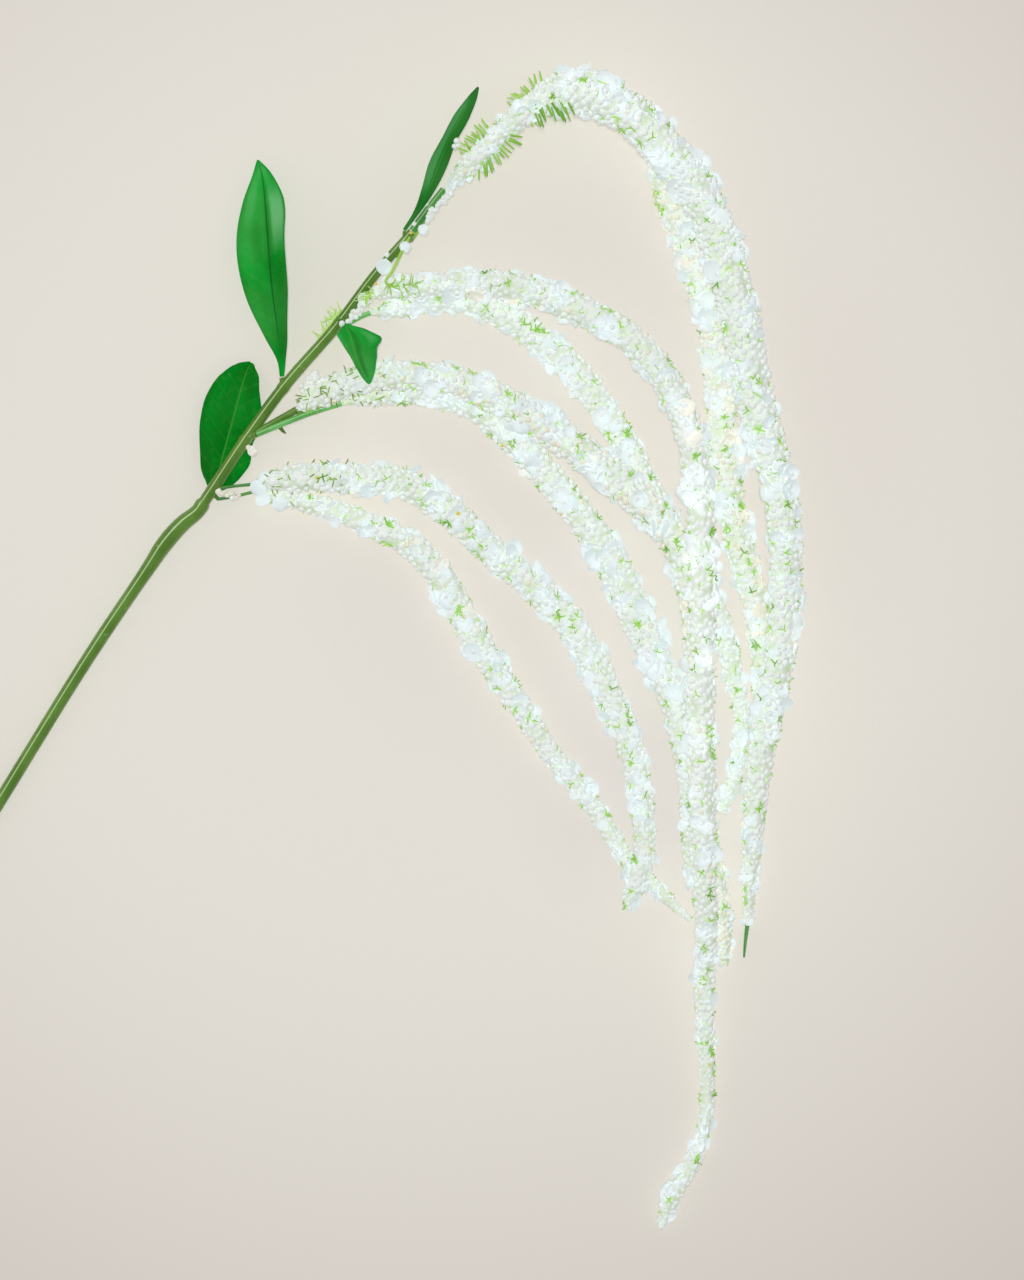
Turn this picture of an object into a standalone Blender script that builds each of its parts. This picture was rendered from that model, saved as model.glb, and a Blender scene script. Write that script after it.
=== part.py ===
"""A cut spray of white trailing amaranth, lying on its side as it is set down.

X runs to the right and Y up along the spray, as it is seen from above, and +Z stands up from the
surface. The origin is the middle of the spray's footprint, on that surface. A round green stem in
two lengths carries four leaves and, on pegs, eight long flower spikes. Each spike bends over and
trails down. It is covered all over in small florets, larger than life here, which stand out of a
slimmer core. Routes are drawn in millimetres from the joint between the two lengths of stem.
"""

import math
import random

import bmesh
import bpy
from mathutils import Matrix, Vector

MM = 0.001
FOOTPRINT_MIDDLE = Vector((19.9, -69.1, 0.0))
SEAT_GAP = 0.3
UP = Vector((0.0, 0.0, 1.0))

LINE_STEPS = 14
STEM_SIDES = 12
STALK_SIDES = 8
STEM_STEPS = 4
STALK_STEPS = 3
PEG_STEPS = 2
WELD = 0.01
SHARP_ANGLE = math.radians(40)

# A spike's surface is a net of triangles wound round its line. Every third corner is the top of a
# floret, with six low corners round it.
CORNERS_ROUND = 9
FLORET_PITCH = 3
SPIKE_STEPS = 56
ROW_SPACING = 0.63
LEAST_ROW_SPACING = 3.5
FLORET_FOOT = 0.75
FLORET_SPREAD = 0.13

BLADE_THICKNESS = 0.8
BLADE_ROWS = 11
BLADE_COLUMNS = 3
BLADE_STEPS = 3
# A half blade leaves the midrib at this share of its full rise, and curls up to the whole of it.
RISE_AT_MIDRIB = 0.6

NEEDLE_RADIUS = 0.55
NEEDLE_SIDES = 3
NEEDLE_TAPER = 0.35
NEEDLE_SWEEP = (-14.0, 20.0)
NEEDLE_LENGTH_SPREAD = (0.88, 1.0)
NEEDLE_PLACE_SPREAD = (0.15, 0.85)

STEM_GREEN = (0.22, 0.34, 0.10, 1.0)
STALK_GREEN = (0.33, 0.55, 0.20, 1.0)
NEEDLE_GREEN = (0.42, 0.62, 0.20, 1.0)
LEAF_GREEN = (0.02, 0.26, 0.07, 1.0)
FLORET_WHITE = (0.90, 0.93, 0.90, 1.0)

# Each route is a list of x, y, z and radius.
LOWER_STEM = [
    (-197.0, -310.0, 2.62, 2.6),
    (-82.0, -119.8, 3.6, 2.6),
    (-42.0, -55.6, 5.5, 2.65),
    (-22.0, -26.0, 7.1, 2.95),
    (-16.6, -17.9, 7.7, 3.4),
    (-8.6, -9.0, 8.6, 3.3),
    (-2.8, -4.2, 9.2, 2.9),
]
UPPER_STEM = [
    (0.0, 0.0, 9.4, 2.4),
    (16.0, 24.0, 10.6, 2.4),
    (31.2, 44.8, 11.5, 2.35),
    (54.0, 71.2, 12.6, 2.15),
    (68.0, 90.0, 13.1, 2.0),
    (82.8, 107.2, 13.5, 1.8),
]

SPIKES = {
    "spike_leader_outer": [
        (96.0, 124.6, 14.4, 1.6),
        (106.0, 134.0, 19.0, 7.0),
        (118.0, 145.8, 22.4, 8.8),
        (130.0, 156.0, 24.0, 9.7),
        (150.0, 163.4, 24.0, 10.9),
        (168.6, 154.6, 24.0, 10.0),
        (184.6, 139.6, 24.0, 9.6),
        (199.2, 119.2, 23.6, 9.5),
        (212.0, 80.0, 22.6, 9.3),
        (220.0, 40.0, 20.6, 9.0),
        (230.4, 0.0, 18.8, 8.2),
        (231.8, -44.0, 18.2, 7.4),
        (227.4, -76.0, 19.2, 7.2),
        (222.8, -100.0, 17.8, 6.6),
        (219.6, -130.0, 12.4, 5.1),
        (218.0, -152.0, 7.0, 4.0),
        (217.2, -169.0, 3.8, 2.2),
    ],
    "spike_leader_inner": [
        (160.4, 161.2, 5.0, 2.2),
        (177.4, 144.6, 5.2, 5.6),
        (186.8, 118.6, 4.8, 6.8),
        (195.6, 95.4, 6.2, 7.2),
        (203.0, 68.0, 6.6, 7.2),
        (206.4, 38.0, 6.6, 7.4),
        (210.0, 0.0, 7.2, 7.2),
        (214.4, -20.0, 6.8, 6.9),
        (220.4, -44.0, 6.4, 6.2),
        (223.6, -76.0, 6.0, 5.7),
        (222.8, -98.0, 5.6, 5.2),
        (219.8, -118.0, 4.9, 4.4),
        (218.2, -133.0, 3.8, 2.0),
    ],
    "spike_upper_long": [
        (66.6, 81.8, 15.4, 1.6),
        (76.0, 84.4, 17.5, 5.3),
        (90.0, 85.6, 18.7, 6.4),
        (118.0, 85.9, 18.9, 6.9),
        (141.4, 79.4, 19.0, 7.0),
        (173.4, 61.4, 21.0, 7.2),
        (191.5, 33.0, 26.0, 7.0),
        (197.6, 0.0, 31.0, 6.4),
        (198.8, -36.0, 33.4, 7.0),
        (198.0, -70.0, 30.4, 6.9),
        (198.0, -98.0, 27.8, 7.0),
        (198.6, -126.0, 25.2, 6.8),
        (199.6, -150.0, 20.6, 6.2),
        (200.6, -176.0, 13.6, 5.3),
        (199.8, -200.0, 7.8, 4.6),
        (200.8, -228.0, 4.0, 4.1),
        (200.0, -250.0, 2.5, 3.8),
        (194.0, -268.0, 3.2, 4.1),
        (185.8, -281.0, 4.9, 4.3),
        (182.4, -291.6, 3.8, 1.7),
    ],
    "spike_upper_inner": [
        (66.2, 75.0, 11.0, 1.5),
        (75.0, 76.8, 8.6, 4.8),
        (90.0, 80.0, 7.0, 6.0),
        (106.0, 79.6, 6.8, 6.2),
        (124.0, 71.0, 7.4, 6.8),
        (148.0, 51.6, 7.9, 7.3),
        (167.0, 24.0, 7.9, 7.0),
        (181.0, -2.0, 7.2, 6.3),
        (193.0, -24.0, 6.6, 6.0),
        (203.4, -42.0, 6.4, 5.8),
        (210.2, -64.0, 6.0, 5.3),
        (213.8, -80.0, 5.0, 4.4),
        (214.8, -92.0, 4.7, 3.9),
        (213.6, -104.0, 4.6, 3.7),
        (210.8, -114.0, 4.7, 3.8),
        (207.0, -125.0, 4.2, 2.2),
    ],
    "spike_middle_outer": [
        (37.0, 36.2, 12.8, 1.4),
        (46.0, 41.4, 14.2, 4.6),
        (58.0, 46.6, 15.6, 6.4),
        (74.0, 49.4, 17.0, 7.0),
        (94.0, 48.8, 19.6, 7.3),
        (118.0, 39.8, 22.6, 7.6),
        (148.8, 20.4, 22.8, 8.3),
        (173.8, -0.4, 22.8, 8.2),
        (188.2, -17.4, 21.6, 7.4),
        (194.6, -37.6, 18.8, 6.4),
        (196.6, -70.0, 12.2, 5.8),
        (197.2, -96.0, 8.0, 5.5),
        (198.8, -118.0, 6.5, 5.2),
        (202.4, -144.0, 6.0, 5.1),
        (206.6, -164.0, 5.6, 4.8),
        (208.0, -180.0, 4.6, 3.2),
        (208.2, -186.0, 4.0, 1.8),
    ],
    "spike_middle_inner": [
        (54.6, 38.8, 7.8, 1.4),
        (66.0, 41.8, 6.2, 5.2),
        (86.0, 43.2, 6.6, 6.6),
        (106.0, 38.0, 7.0, 6.6),
        (122.0, 26.0, 7.6, 7.2),
        (140.0, 6.0, 8.0, 7.6),
        (158.0, -16.6, 8.6, 8.0),
        (170.0, -40.0, 10.0, 8.3),
        (178.6, -60.0, 13.4, 7.6),
        (185.4, -76.0, 16.2, 6.4),
        (190.6, -96.0, 17.1, 5.5),
        (193.2, -116.0, 15.2, 4.7),
        (194.0, -134.0, 13.3, 4.3),
        (194.4, -148.0, 11.4, 3.2),
        (194.0, -153.0, 10.6, 1.6),
    ],
    "spike_lower_outer": [
        (18.4, 6.3, 10.5, 1.3),
        (27.0, 7.8, 12.6, 4.8),
        (40.0, 8.9, 13.9, 6.8),
        (62.0, 8.6, 12.6, 7.2),
        (80.0, 6.4, 10.6, 7.2),
        (95.0, -2.4, 9.2, 7.6),
        (110.0, -16.0, 8.6, 7.3),
        (134.0, -37.0, 8.2, 7.1),
        (151.0, -57.0, 8.2, 7.2),
        (163.4, -82.0, 9.0, 6.9),
        (171.4, -103.8, 12.4, 6.4),
        (174.8, -122.0, 15.6, 5.7),
        (175.8, -140.0, 16.4, 5.2),
        (172.4, -153.0, 15.4, 5.1),
        (169.8, -163.4, 14.6, 3.0),
    ],
    "spike_lower_inner": [
        (19.4, 3.3, 7.4, 1.3),
        (29.0, 1.7, 5.6, 4.0),
        (44.0, -1.8, 5.8, 5.0),
        (62.0, -8.0, 6.2, 5.8),
        (78.0, -15.6, 6.2, 6.6),
        (92.4, -28.2, 4.7, 7.4),
        (103.2, -46.8, 6.4, 7.0),
        (113.8, -64.4, 6.8, 6.5),
        (124.6, -81.0, 6.4, 5.9),
        (138.2, -100.6, 5.8, 5.2),
        (151.4, -117.4, 5.4, 4.8),
        (162.4, -133.4, 5.0, 4.6),
        (172.0, -147.2, 4.7, 4.2),
        (182.6, -157.4, 4.5, 3.6),
        (194.0, -168.0, 3.8, 1.6),
    ],
}
# The spray rests on three of its spikes. The undersides of the others stop short of the surface.
RESTING_SPIKES = ("spike_leader_inner", "spike_upper_long", "spike_lower_inner")
CLEAR_OF_SURFACE = 0.8

# Pegs moulded on the upper stem. Each runs from the middle of the stem to just short of what is
# pushed on it: a stalk, a twig, a spike or a leaf.
PEG_ROOTS = {
    "stalk_middle_inner": (17.2, 25.8, 10.7),
    "stalk_lower_outer": (3.1, 4.7, 9.7),
    "stalk_lower_inner": (2.3, 3.4, 9.6),
    "stalk_upper_inner": (52.8, 69.8, 12.5),
    "spike_upper_long": (61.2, 80.9, 12.9),
    "spike_middle_outer": (16.2, 24.4, 10.6),
    "leader_sprig": (79.4, 103.2, 13.3),
    "light_twig": (75.0, 98.1, 13.2),
}
# The last stretch of a peg or stalk runs straight, square to the face that it meets.
SEAT_RUN = 1.2
PEG_SHARE = 1.15
LEAF_PEGS = {
    "leaf_broad": [(2.4, 3.5, 9.5, 1.3), (2.4, 3.6, 6.55, 1.2)],
    "leaf_tall": [(31.6, 45.4, 11.6, 1.5), (30.9, 48.9, 12.3, 1.2)],
    "leaf_folded": [(54.0, 71.2, 12.6, 1.3), (54.2, 71.4, 15.7, 1.1)],
    "leaf_narrow": [(79.0, 102.9, 13.4, 1.2), (79.6, 107.2, 15.5, 0.9)],
}
NODE_COLLARS = {1: 2.85, 2: 2.75, 3: 2.5, 5: 2.2}
COLLAR_LENGTH = 4.0
COLLAR_TAPER = 0.8

# A stalk's route goes on to just short of the spike that it carries.
STALKS = {
    "stalk_leader": [(83.05, 107.5, 13.5, 1.75), (88.0, 114.2, 13.8, 1.9)],
    "stalk_middle_inner": [(20.8, 26.2, 14.2, 1.1), (30.0, 30.0, 14.8, 1.15), (40.0, 34.0, 12.6, 1.15)],
    "stalk_lower_outer": [(6.8, 4.9, 10.8, 0.8), (12.0, 5.6, 10.9, 0.75)],
    "stalk_lower_inner": [(5.2, 0.4, 7.4, 0.8), (11.0, 1.3, 7.1, 0.75)],
    "stalk_upper_inner": [(57.9, 70.9, 12.2, 1.0), (62.0, 73.2, 11.6, 1.0)],
}
STALK_SPIKES = {
    "stalk_leader": "spike_leader_outer",
    "stalk_middle_inner": "spike_middle_inner",
    "stalk_lower_outer": "spike_lower_outer",
    "stalk_lower_inner": "spike_lower_inner",
    "stalk_upper_inner": "spike_upper_inner",
}
BARE_TIP = [(217.2, -169.4, 3.75, 0.9), (216.4, -176.0, 3.2, 0.7), (215.8, -183.2, 2.4, 0.4)]

# Twigs with needles: the twig's own route, where along it the needles start and end, how many
# stand on each side, their lengths at the start and at the end, and how far they lean up and down.
NEEDLE_TWIGS = {
    "leader_sprig": {
        "route": [
            (82.6, 104.8, 9.7, 1.3),
            (93.0, 120.4, 8.2, 1.4),
            (108.0, 137.0, 7.4, 1.4),
            (128.0, 155.0, 6.8, 1.3),
            (143.0, 163.4, 5.8, 1.2),
            (154.0, 165.4, 5.2, 1.2),
            (159.2, 162.7, 5.0, 1.1),
        ],
        "span": (0.27, 0.62),
        "count": 20,
        "lengths": (9.8, 12.0),
        "lean": (-14.0, 22.0),
    },
    "needle_tuft": {
        "route": [(57.0, 66.4, 7.8, 0.8), (53.6, 70.9, 8.7, 1.1), (47.6, 75.2, 8.1, 0.8)],
        "span": (0.05, 0.95),
        "count": 12,
        "lengths": (5.4, 5.4),
        "lean": (-40.0, 5.0),
    },
    "light_twig": {
        "route": [
            (77.8, 97.4, 15.6, 0.8),
            (75.4, 92.2, 20.2, 0.8),
            (73.2, 87.4, 24.0, 0.8),
            (74.6, 85.4, 25.8, 0.8),
            (79.0, 85.6, 27.0, 0.75),
            (85.0, 86.0, 27.4, 0.65),
        ],
        "span": (0.55, 0.95),
        "count": 5,
        "lengths": (4.2, 4.2),
        "lean": (8.0, 60.0),
    },
}

# A leaf's stations run up its midrib: x, y, z, the widths of its left and right halves, and the
# angles in degrees by which these halves rise from level.
LEAVES = {
    "leaf_broad": [
        (2.3, 3.4, 5.8, 1.0, 1.0, 0.0, 0.0),
        (4.2, 7.4, 5.0, 5.3, 6.0, 6.0, 0.0),
        (6.4, 16.0, 4.3, 9.0, 11.2, 12.0, 0.0),
        (9.4, 26.5, 4.1, 12.5, 10.4, 14.0, 2.0),
        (10.9, 32.0, 4.4, 13.2, 12.3, 14.0, 5.0),
        (12.4, 37.5, 4.7, 13.3, 10.8, 14.0, 10.0),
        (15.0, 47.0, 5.5, 9.9, 7.1, 8.0, 14.0),
        (17.0, 52.6, 5.1, 5.0, 4.3, -4.0, 4.0),
        (18.4, 55.2, 4.3, 1.0, 1.0, -8.0, -6.0),
    ],
    "leaf_tall": [
        (30.8, 49.4, 12.5, 0.9, 0.9, 10.0, 20.0),
        (30.4, 55.0, 13.1, 1.3, 2.4, 8.0, 40.0),
        (29.4, 65.0, 13.9, 5.2, 6.6, 4.0, 56.0),
        (26.9, 84.0, 14.2, 11.2, 13.0, -2.0, 60.0),
        (25.2, 104.0, 12.8, 12.8, 12.6, -6.0, 57.0),
        (24.0, 119.0, 10.8, 9.4, 10.0, -8.0, 40.0),
        (22.8, 129.6, 8.8, 4.5, 4.4, -6.0, 28.0),
        (21.0, 136.2, 7.4, 0.4, 0.4, 0.0, 10.0),
    ],
    "leaf_folded": [
        (54.2, 71.3, 16.4, 0.9, 0.9, 0.0, 0.0),
        (55.6, 69.4, 19.6, 1.9, 2.4, 4.0, 4.0),
        (56.7, 66.6, 24.0, 7.2, 3.6, 2.0, -4.0),
        (58.2, 62.6, 27.0, 11.8, 3.3, -4.0, -16.0),
        (59.6, 59.4, 28.2, 11.2, 3.4, -12.0, -26.0),
        (61.0, 56.0, 28.8, 9.8, 3.0, -16.0, -32.0),
        (63.0, 51.2, 28.4, 7.3, 2.3, -18.0, -34.0),
        (64.7, 48.2, 27.6, 4.7, 1.3, -18.0, -30.0),
        (66.2, 46.2, 26.8, 0.5, 0.5, 0.0, 0.0),
    ],
    "leaf_narrow": [
        (79.8, 107.8, 15.9, 0.8, 0.8, 30.0, 30.0),
        (83.2, 112.6, 16.7, 1.5, 1.3, 50.0, 45.0),
        (86.2, 117.4, 17.2, 2.7, 2.2, 54.0, 48.0),
        (88.9, 123.0, 17.4, 4.6, 3.8, 58.0, 50.0),
        (93.0, 134.0, 17.6, 6.6, 6.8, 60.0, 54.0),
        (97.4, 144.4, 17.4, 4.6, 6.0, 60.0, 54.0),
        (101.2, 151.8, 16.8, 4.6, 6.2, 60.0, 52.0),
        (105.6, 159.4, 15.4, 2.4, 4.2, 56.0, 50.0),
        (109.3, 165.1, 14.0, 0.5, 0.5, 40.0, 40.0),
    ],
}


def clear_scene():
    for thing in list(bpy.data.objects):
        bpy.data.objects.remove(thing)


def new_material(name, colour, roughness):
    material = bpy.data.materials.new(name)
    material.use_nodes = True
    shader = material.node_tree.nodes["Principled BSDF"]
    shader.inputs["Base Color"].default_value = colour
    shader.inputs["Roughness"].default_value = roughness
    shader.inputs["Metallic"].default_value = 0.0
    return material


def smooth_line(route, steps=LINE_STEPS):
    """Stations of a smooth line through the route's own. What follows x, y and z is smoothed too."""
    gaps = [math.dist(a[:3], b[:3]) for a, b in zip(route, route[1:])]
    slopes = []
    for k in range(len(route)):
        before = max(k - 1, 0)
        after = min(k, len(gaps) - 1)
        into = [(b - a) / gaps[before] for a, b in zip(route[before], route[before + 1])]
        out = [(b - a) / gaps[after] for a, b in zip(route[after], route[after + 1])]
        share = gaps[before] / (gaps[before] + gaps[after])
        slopes.append([i * (1 - share) + o * share for i, o in zip(into, out)])
    line = []
    for k, gap in enumerate(gaps):
        for step in range(steps):
            t = step / steps
            weights = (
                2 * t**3 - 3 * t**2 + 1,
                (t**3 - 2 * t**2 + t) * gap,
                3 * t**2 - 2 * t**3,
                (t**3 - t**2) * gap,
            )
            corners = zip(route[k], slopes[k], route[k + 1], slopes[k + 1])
            line.append([sum(w * c for w, c in zip(weights, corner)) for corner in corners])
    line.append(list(route[-1]))
    return line


def directions(line):
    """For each station, the way along the line and the level way to its right."""
    found = []
    for k in range(len(line)):
        ahead = Vector(line[min(k + 1, len(line) - 1)][:3])
        behind = Vector(line[max(k - 1, 0)][:3])
        along = (ahead - behind).normalized()
        found.append((along, along.cross(UP).normalized()))
    return found


def rows_of(line):
    """Picks stations of a dense line so that their spacing follows the spike's radius."""
    picked = [line[0]]
    walked = 0.0
    for here, after in zip(line, line[1:]):
        walked += math.dist(here[:3], after[:3])
        if walked >= max(LEAST_ROW_SPACING, ROW_SPACING * after[3]):
            picked.append(after)
            walked = 0.0
    picked[-1] = line[-1]
    return picked


def add_object(name, mesh, material, collection):
    mesh.materials.append(material)
    thing = bpy.data.objects.new(name, mesh)
    collection.objects.link(thing)
    thing.location = -FOOTPRINT_MIDDLE * MM
    return thing


def floret_spike(name, route, floor, material, collection):
    """A closed net of florets round a line, with a point at its tip and a small flat root."""
    draw = random.Random(name)
    rows = rows_of(smooth_line(route, SPIKE_STEPS))
    shell = bmesh.new()
    rings = []
    for i, (row, (along, right)) in enumerate(zip(rows, directions(rows))):
        over = right.cross(along)
        ring = []
        for j in range(CORNERS_ROUND):
            angle = 2 * math.pi * (j + i / 2) / CORNERS_ROUND
            is_floret = (j - i) % FLORET_PITCH == 0
            reach = 1 - draw.uniform(0, FLORET_SPREAD) if is_floret else FLORET_FOOT
            outward = right * math.cos(angle) + over * math.sin(angle)
            corner = Vector(row[:3]) + outward * (row[3] * reach)
            corner.z = max(corner.z, floor)
            ring.append(shell.verts.new(corner * MM))
        rings.append(ring)
    for low, high in zip(rings, rings[1:]):
        for j in range(CORNERS_ROUND):
            k = (j + 1) % CORNERS_ROUND
            shell.faces.new((low[j], low[k], high[j]))
            shell.faces.new((low[k], high[k], high[j]))
    for ring, end, turn in ((rings[0], rows[0], -1), (rings[-1], rows[-1], 1)):
        hub = shell.verts.new(Vector(end[:3]) * MM)
        for j in range(CORNERS_ROUND):
            pair = (ring[j], ring[(j + 1) % CORNERS_ROUND])[::turn]
            shell.faces.new((*pair, hub))
    bmesh.ops.recalc_face_normals(shell, faces=shell.faces)
    mesh = bpy.data.meshes.new(name)
    shell.to_mesh(mesh)
    shell.free()
    return add_object(name, mesh, material, collection)


def tube(name, route, material, collection, steps, sides):
    """A round closed tube along a route, each station with its own radius."""
    line = smooth_line(route, steps)
    curve = bpy.data.curves.new(name, "CURVE")
    curve.dimensions = "3D"
    curve.bevel_depth = MM
    curve.bevel_resolution = sides // 2 - 2
    curve.use_fill_caps = True
    spline = curve.splines.new("POLY")
    spline.points.add(len(line) - 1)
    for point, station in zip(spline.points, line):
        point.co = (*(Vector(station[:3]) * MM), 1.0)
        point.radius = station[3]
    drawn = bpy.data.objects.new(name, curve)
    collection.objects.link(drawn)
    bpy.context.view_layer.update()
    graph = bpy.context.evaluated_depsgraph_get()
    mesh = bpy.data.meshes.new_from_object(drawn.evaluated_get(graph))
    bpy.data.objects.remove(drawn)
    bpy.data.curves.remove(curve)
    body = bmesh.new()
    body.from_mesh(mesh)
    bmesh.ops.remove_doubles(body, verts=body.verts, dist=WELD * MM)
    bmesh.ops.recalc_face_normals(body, faces=body.faces)
    body.to_mesh(mesh)
    body.free()
    mesh.materials.clear()
    made = add_object(name, mesh, material, collection)
    mesh.shade_smooth()
    mesh.set_sharp_from_angle(angle=SHARP_ANGLE)
    return made


def join_to(thing, extras):
    """Fuses every object of a collection into the thing, then removes them."""
    modifier = thing.modifiers.new("join", "BOOLEAN")
    modifier.operation = "UNION"
    modifier.operand_type = "COLLECTION"
    modifier.collection = extras
    modifier.solver = "EXACT"
    bpy.context.view_layer.update()
    graph = bpy.context.evaluated_depsgraph_get()
    joined = bpy.data.meshes.new_from_object(thing.evaluated_get(graph))
    thing.modifiers.clear()
    thing.data = joined
    for extra in list(extras.objects):
        bpy.data.objects.remove(extra)
    bpy.data.collections.remove(extras)


def helper_collection(name):
    extras = bpy.data.collections.new(name)
    bpy.context.scene.collection.children.link(extras)
    return extras


def led_to(route, carried):
    """Carries a route on to just short of another's start, which it meets square."""
    start = Vector(carried[0][:3])
    way = (Vector(carried[1][:3]) - start).normalized()
    end = start - way * SEAT_GAP
    bend = end - way * SEAT_RUN
    return [*route, (*bend, route[-1][3]), (*end, route[-1][3])]


def upper_stem(material, collection):
    """The upper length of stem, with a collar at each node and the pegs that its parts push on."""
    stem = tube("upper_stem", UPPER_STEM, material, collection, STEM_STEPS, STEM_SIDES)
    extras = helper_collection("stem_extras")
    carried = {**STALKS, **SPIKES, **{name: twig["route"] for name, twig in NEEDLE_TWIGS.items()}}
    for name, root in PEG_ROOTS.items():
        route = led_to([(*root, carried[name][0][3] * PEG_SHARE)], carried[name])
        tube("peg_" + name, route, material, extras, PEG_STEPS, STALK_SIDES)
    for name, route in LEAF_PEGS.items():
        tube("peg_" + name, route, material, extras, 1, STALK_SIDES)
    line = smooth_line(UPPER_STEM)
    ways = directions(line)
    for node, radius in NODE_COLLARS.items():
        place = min(node * LINE_STEPS, len(line) - 2)
        centre = Vector(line[place][:3])
        reach = ways[place][0] * (COLLAR_LENGTH / 2)
        if node == len(UPPER_STEM) - 1:
            centre -= reach * 2
        taper = radius * COLLAR_TAPER
        ends = [(*(centre + reach * k), taper if abs(k) == 1 else radius) for k in (-1, 0, 1)]
        tube(f"collar_{node}", ends, material, extras, PEG_STEPS, STEM_SIDES)
    join_to(stem, extras)
    return stem


def needle(name, root, way, length, material, collection):
    """A three-sided spike standing out of a twig, its root sunk into it."""
    shape = bmesh.new()
    bmesh.ops.create_cone(
        shape,
        cap_ends=True,
        segments=NEEDLE_SIDES,
        radius1=NEEDLE_RADIUS * MM,
        radius2=NEEDLE_RADIUS * NEEDLE_TAPER * MM,
        depth=length * MM,
    )
    turned = way.to_track_quat("Z", "Y").to_matrix().to_4x4()
    middle = (root + way * (length / 2)) * MM
    bmesh.ops.transform(shape, matrix=Matrix.Translation(middle) @ turned, verts=shape.verts)
    mesh = bpy.data.meshes.new(name)
    shape.to_mesh(mesh)
    shape.free()
    return add_object(name, mesh, material, collection)


def needle_twig(name, route, span, count, lengths, lean, material, collection):
    """A slim twig with a row of needles on each side."""
    draw = random.Random(name)
    twig = tube(name, route, material, collection, STALK_STEPS, STALK_SIDES)
    extras = helper_collection(name + "_needles")
    line = smooth_line(route)
    ways = directions(line)
    last = len(line) - 1
    for side in (-1, 1):
        for k in range(count):
            share = span[0] + (span[1] - span[0]) * (k + draw.uniform(*NEEDLE_PLACE_SPREAD)) / count
            place = round(share * last)
            along, right = ways[place]
            rise = math.radians(draw.uniform(*lean))
            sweep = math.radians(draw.uniform(*NEEDLE_SWEEP))
            level = right * (side * math.cos(sweep)) + along * math.sin(sweep)
            way = (level * math.cos(rise) + UP * math.sin(rise)).normalized()
            reach = lengths[0] + (lengths[1] - lengths[0]) * k / count
            length = reach * draw.uniform(*NEEDLE_LENGTH_SPREAD)
            root = Vector(line[place][:3])
            needle(f"{name}_needle_{side}_{k}", root, way, length, material, extras)
    join_to(twig, extras)
    return twig


def leaf(name, stations, material, collection):
    """A thin blade: an open sheet of triangles each side of the midrib, given its thickness."""
    line = smooth_line(stations, BLADE_STEPS)
    picked = [line[round(k * (len(line) - 1) / BLADE_ROWS)] for k in range(BLADE_ROWS + 1)]
    sheet = bmesh.new()
    grid = []
    for station, (along, right) in zip(picked, directions(picked)):
        over = right.cross(along)
        row = []
        for column in range(-BLADE_COLUMNS, BLADE_COLUMNS + 1):
            share = abs(column) / BLADE_COLUMNS
            width, angle = (station[3], station[5]) if column < 0 else (station[4], station[6])
            rise = math.radians(angle) * (RISE_AT_MIDRIB + (1 - RISE_AT_MIDRIB) * share)
            side = right * math.copysign(math.cos(rise), column) + over * math.sin(rise)
            row.append(sheet.verts.new((Vector(station[:3]) + side * (width * share)) * MM))
        grid.append(row)
    for low, high in zip(grid, grid[1:]):
        for a, b, c, d in zip(low, low[1:], high[1:], high):
            sheet.faces.new((a, b, c))
            sheet.faces.new((a, c, d))
    mesh = bpy.data.meshes.new(name)
    sheet.to_mesh(mesh)
    sheet.free()
    blade = add_object(name, mesh, material, collection)
    shell = blade.modifiers.new("thickness", "SOLIDIFY")
    shell.thickness = BLADE_THICKNESS * MM
    shell.offset = 0.0
    return blade


def main():
    clear_scene()
    spray = bpy.data.collections.new("trailing_amaranth")
    bpy.context.scene.collection.children.link(spray)
    stem_green = new_material("stem_green", STEM_GREEN, 0.35)
    stalk_green = new_material("stalk_green", STALK_GREEN, 0.4)
    needle_green = new_material("needle_green", NEEDLE_GREEN, 0.5)
    leaf_green = new_material("leaf_green", LEAF_GREEN, 0.45)
    floret_white = new_material("floret_white", FLORET_WHITE, 0.8)

    tube("lower_stem", led_to(LOWER_STEM, UPPER_STEM), stem_green, spray, STALK_STEPS, STEM_SIDES)
    upper_stem(stem_green, spray)
    for name, route in STALKS.items():
        route = led_to(route, SPIKES[STALK_SPIKES[name]])
        tube(name, route, stalk_green, spray, STALK_STEPS, STALK_SIDES)
    tube("bare_tip", BARE_TIP, stalk_green, spray, STALK_STEPS, STALK_SIDES)
    for name, twig in NEEDLE_TWIGS.items():
        needle_twig(name, **twig, material=needle_green, collection=spray)
    for name, stations in LEAVES.items():
        leaf(name, stations, leaf_green, spray)
    for name, route in SPIKES.items():
        floor = 0.0 if name in RESTING_SPIKES else CLEAR_OF_SURFACE
        floret_spike(name, route, floor, floret_white, spray)


main()
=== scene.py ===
"""The looks of a cut spray of white trailing amaranth, made of moulded plastic, cloth and foam.

The spray lies on a pale floor and is seen from straight above. Sizes are in millimetres from the
joint between the two lengths of stem, and are turned into the frame's metres as a mesh is made.
"""

import random
from itertools import product
from math import copysign, cos, dist, exp, pi, radians, sin, tau

import bpy
from mathutils import Matrix, Vector, kdtree, noise


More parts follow.
